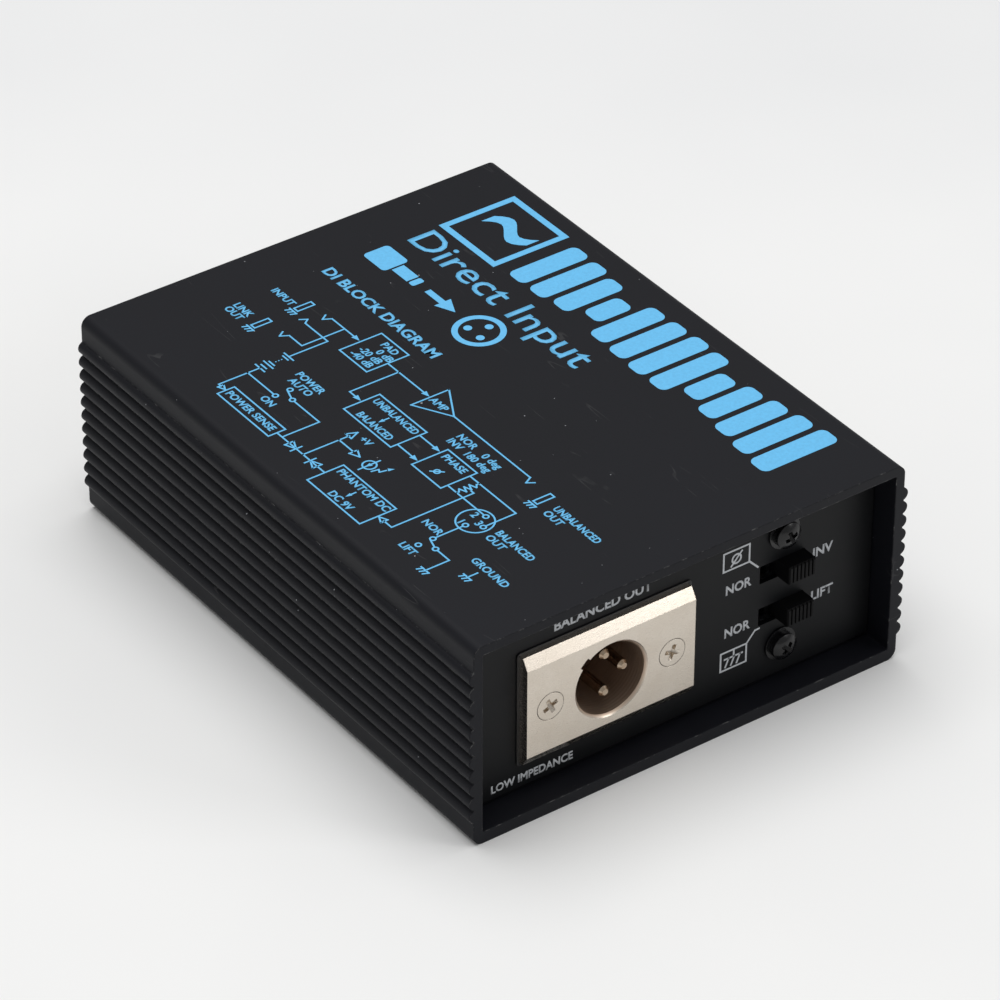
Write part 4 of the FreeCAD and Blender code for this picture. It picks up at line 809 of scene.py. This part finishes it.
class DIBOX_OT_print_output_legend(bpy.types.Operator):
    """Print the legends on the output panel"""
    bl_idname = "dibox.print_output_legend"
    bl_label = "Output panel print"

    def execute(self, context):
        settings = context.scene.dibox_print
        line = settings.legend_line
        art = open_artwork()
        for low in (33.8, 9.7):
            box_outline((11.8, low), (18.5, low + 4.7), line)
        ring((15.15, 36.1), 1.25, line)
        strip((13.9, 34.7), (16.4, 37.5), line)
        path([(18.5, 33.9), (20.5, 31.8)], line)
        path([(18.4, 14.3), (20.3, 16.5), (21.3, 16.6)], line)
        strip((13.0, 12.5), (17.3, 12.5), line)
        strip((15.2, 12.5), (15.2, 13.8), line)
        for foot in (13.2, 14.6, 16.0):
            strip((foot + 0.8, 12.5), (foot, 10.6), line)
        bpy.ops.object.mode_set(mode="OBJECT")
        cap = settings.legend_cap
        words = [
            lettering("BALANCED OUT", (-17.0, 37.6), cap, WEIGHT, align="CENTER"),
            lettering("NOR", (12.6, 28.2), cap, WEIGHT, width=6.3),
            lettering("NOR", (12.6, 17.8), cap, WEIGHT, width=6.3),
            lettering("INV", (34.0, 28.2), cap, WEIGHT),
            lettering("LIFT", (34.0, 17.8), cap, WEIGHT),
            lettering("LOW IMPEDANCE", (-43.2, 5.0), 1.8, WEIGHT, width=19.4),
        ]
        ink = screen_ink("grey_screen_ink", context.scene.dibox_finishes.grey_ink)
        lay_print([art, *words], "output_legend", ink, **OUTPUT, film=settings.film)
        return {"FINISHED"}


class DIBOX_OT_print_input_legend(bpy.types.Operator):
    """Print the legends on the input panel"""
    bl_idname = "dibox.print_input_legend"
    bl_label = "Input panel print"

    def execute(self, context):
        settings = context.scene.dibox_print
        cap, small, line = settings.legend_cap, settings.small_cap, settings.legend_line
        mounts = {mount["name"]: mount["pos_m"] for mount in frame["record"]["mounts"]}
        jacks = [-mounts[f"{name}_jack_bore"][0] / MM for name in ("input", "parallel", "unbalanced")]
        low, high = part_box("power_switch_can")
        switch = -(low[0] + high[0]) / 2 / MM
        art = open_artwork()
        for u in jacks:
            path([(u - 6.0, 30.6), (u - 6.0, 29.6), (u + 6.0, 29.6), (u + 6.0, 30.6)], line)
        bpy.ops.object.mode_set(mode="OBJECT")
        names = (("INPUT", None), ("LINK", None), ("UNBAL OUT", 13.0))
        words = [lettering(name, (u, 31.8), cap, WEIGHT, width, align="CENTER")
                 for (name, width), u in zip(names, jacks)]
        words += [lettering(name, (switch + u, v), small, WEIGHT, align="CENTER")
                  for name, u, v in (("0", -9.6, 28.6), ("-20", -9.6, 31.4), ("-40", 11.6, 28.6),
                                     ("ON", 9.6, 18.3), ("AUTO", -9.8, 18.3))]
        words.append(lettering("POWER", (3.6, 37.2), small, WEIGHT))
        ink = screen_ink("grey_legend_ink", context.scene.dibox_finishes.grey_ink)
        lay_print([art, *words], "input_legend", ink, **INPUT, film=settings.film)
        return {"FINISHED"}


class DIBOX_OT_shadowline(bpy.types.Operator):
    """Lay a thin black frame under the output connector's flange: a painted shadow line round the flange on
    the panel
    """
    bl_idname = "dibox.gasket"
    bl_label = "Connector gasket"

    def execute(self, context):
        low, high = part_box("xlr_shell")
        margin = context.scene.dibox_print.shadowline_margin
        overlap, corner = 0.4, 0.8
        # painted shadow: a black frame just wider than the flange stands in for the dark line of shade
        # around it
        art = open_artwork()
        bar((low[0] / MM - margin, low[2] / MM - margin),
            (high[0] / MM + margin, high[2] / MM + margin), corner)
        hollow(margin + overlap)
        gasket = lay_print([art], "connector_shadowline",
                           moulded_plastic("shadowline_black", "#08080A", "#101013", specular=0.5),
                           **OUTPUT, film=context.scene.dibox_print.shadowline_thickness)
        edge = gasket.modifiers.new("rolled_edge", "BEVEL")
        edge.width = 0.1 * MM
        edge.segments = 2
        bpy.ops.object.modifier_apply(modifier=edge.name)
        return {"FINISHED"}


class DIBOX_OT_print_door_legend(bpy.types.Operator):
    """Print the battery's size and an opening arrow on the battery door"""
    bl_idname = "dibox.print_door_legend"
    bl_label = "Battery door print"

    def execute(self, context):
        settings = context.scene.dibox_print
        low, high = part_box("battery_door")
        left, level = -high[0] / MM, (low[1] + high[1]) / 2 / MM
        art = open_artwork()
        strip((left + 12.0, level), (left + 8.5, level), 0.7)
        arrow_head((left + 6.2, level), 180, 1.7, 0.8)
        bpy.ops.object.mode_set(mode="OBJECT")
        words = [lettering("OPEN", (left + 13.5, level - 1.05), settings.legend_cap, 0.02),
                 lettering("9V BATTERY", (left + 24.5, level - 1.05), settings.legend_cap, 0.02)]
        ink = screen_ink("grey_door_ink", context.scene.dibox_finishes.grey_ink)
        lay_print([art, *words], "door_legend", ink, rotation=(0, math.pi, 0), origin=(0, 0, low[2]),
                  film=settings.film, body="door")
        return {"FINISHED"}


# --- stage ----------------------------------------------------------------------------------------

class DIBOX_OT_stage(bpy.types.Operator):
    """Set the paper, the softboxes, the room and the camera"""
    bl_idname = "dibox.stage"
    bl_label = "Stage"

    def execute(self, context):
        stage = context.scene.dibox_stage
        self.lay_paper(context)
        self.hang_lights(context, stage)
        self.aim_camera(context, stage)
        context.scene.view_settings.view_transform = "Standard"
        return {"FINISHED"}

    def lay_paper(self, context):
        bpy.ops.object.select_all(action="DESELECT")
        bpy.ops.mesh.primitive_plane_add(size=6.0, location=(0, 0, SLEEVE_LOW[2] - 0.02 * MM))
        paper = context.object
        paper.name = "background_paper"
        bpy.ops.object.transform_apply(location=True, rotation=True, scale=True)
        paper.data.materials.append(studio_paper(context.scene.dibox_finishes.paper))

    def hang_lights(self, context, stage):
        lamps = [("overhead_softbox", (-0.05, 0.15, 1.35), 1.2, stage.key_power),
                 ("front_softbox", (1.0, -1.2, 0.8), 0.6, stage.fill_power)]
        for name, at, size, power in lamps:
            aim = (Vector((0, 0, 0.02)) - Vector(at)).to_track_quat("-Z", "Y").to_euler()
            bpy.ops.object.light_add(type="AREA", location=at, rotation=aim)
            lamp = context.object
            lamp.name = name
            lamp.data.size = size
            lamp.data.energy = power
        world = bpy.data.worlds.new("white_room")
        world.use_nodes = True
        world.node_tree.nodes["Background"].inputs["Color"].default_value = linear("#FFFFFF")
        world.node_tree.nodes["Background"].inputs["Strength"].default_value = stage.sky
        context.scene.world = world

    def aim_camera(self, context, stage):
        away = Vector((-math.sin(stage.azimuth) * math.cos(stage.elevation),
                       -math.cos(stage.azimuth) * math.cos(stage.elevation), math.sin(stage.elevation)))
        facing = (-away).to_track_quat("-Z", "Y").to_euler()
        facing.rotate_axis("Z", stage.roll)
        bpy.ops.object.camera_add(location=LOOK_AT + away * stage.distance, rotation=facing)
        camera = context.object
        camera.name = "studio_camera"
        camera.data.lens = stage.lens
        camera.data.sensor_width = 36.0
        context.scene.camera = camera


class DIBOX_PT_panel(bpy.types.Panel):
    """Direct injection box"""
    bl_idname = "DIBOX_PT_panel"
    bl_label = "Direct injection box"
    bl_space_type = "VIEW_3D"
    bl_region_type = "UI"
    bl_category = "DI box"

    def draw(self, context):
        for operator in OPERATORS:
            self.layout.operator(operator.bl_idname)
        for group in (context.scene.dibox_finishes, context.scene.dibox_print, context.scene.dibox_stage):
            box = self.layout.box()
            for name in group.__annotations__:
                box.prop(group, name)


OPERATORS = (DIBOX_OT_finish_enclosure, DIBOX_OT_finish_connector, DIBOX_OT_finish_switches,
             DIBOX_OT_finish_electronics, DIBOX_OT_shadowline, DIBOX_OT_print_title, DIBOX_OT_print_diagram,
             DIBOX_OT_print_output_legend, DIBOX_OT_print_input_legend, DIBOX_OT_print_door_legend,
             DIBOX_OT_stage)
GROUPS = {"dibox_finishes": DIBoxFinishes, "dibox_print": DIBoxPrint, "dibox_stage": DIBoxStage}


def register():
    for group in (*GROUPS.values(), *OPERATORS, DIBOX_PT_panel):
        bpy.utils.register_class(group)
    for name, group in GROUPS.items():
        setattr(bpy.types.Scene, name, bpy.props.PointerProperty(type=group))


def unregister():
    for name in GROUPS:
        delattr(bpy.types.Scene, name)
    for group in (DIBOX_PT_panel, *OPERATORS, *GROUPS.values()):
        bpy.utils.unregister_class(group)


def main():
    register()
    bpy.ops.dibox.finish_enclosure()
    bpy.ops.dibox.finish_connector()
    bpy.ops.dibox.finish_switches()
    bpy.ops.dibox.finish_electronics()
    bpy.ops.dibox.gasket()
    bpy.ops.dibox.print_title()
    bpy.ops.dibox.print_diagram()
    bpy.ops.dibox.print_output_legend()
    bpy.ops.dibox.print_input_legend()
    bpy.ops.dibox.print_door_legend()
    bpy.ops.dibox.stage()


if __name__ == "__main__":
    main()
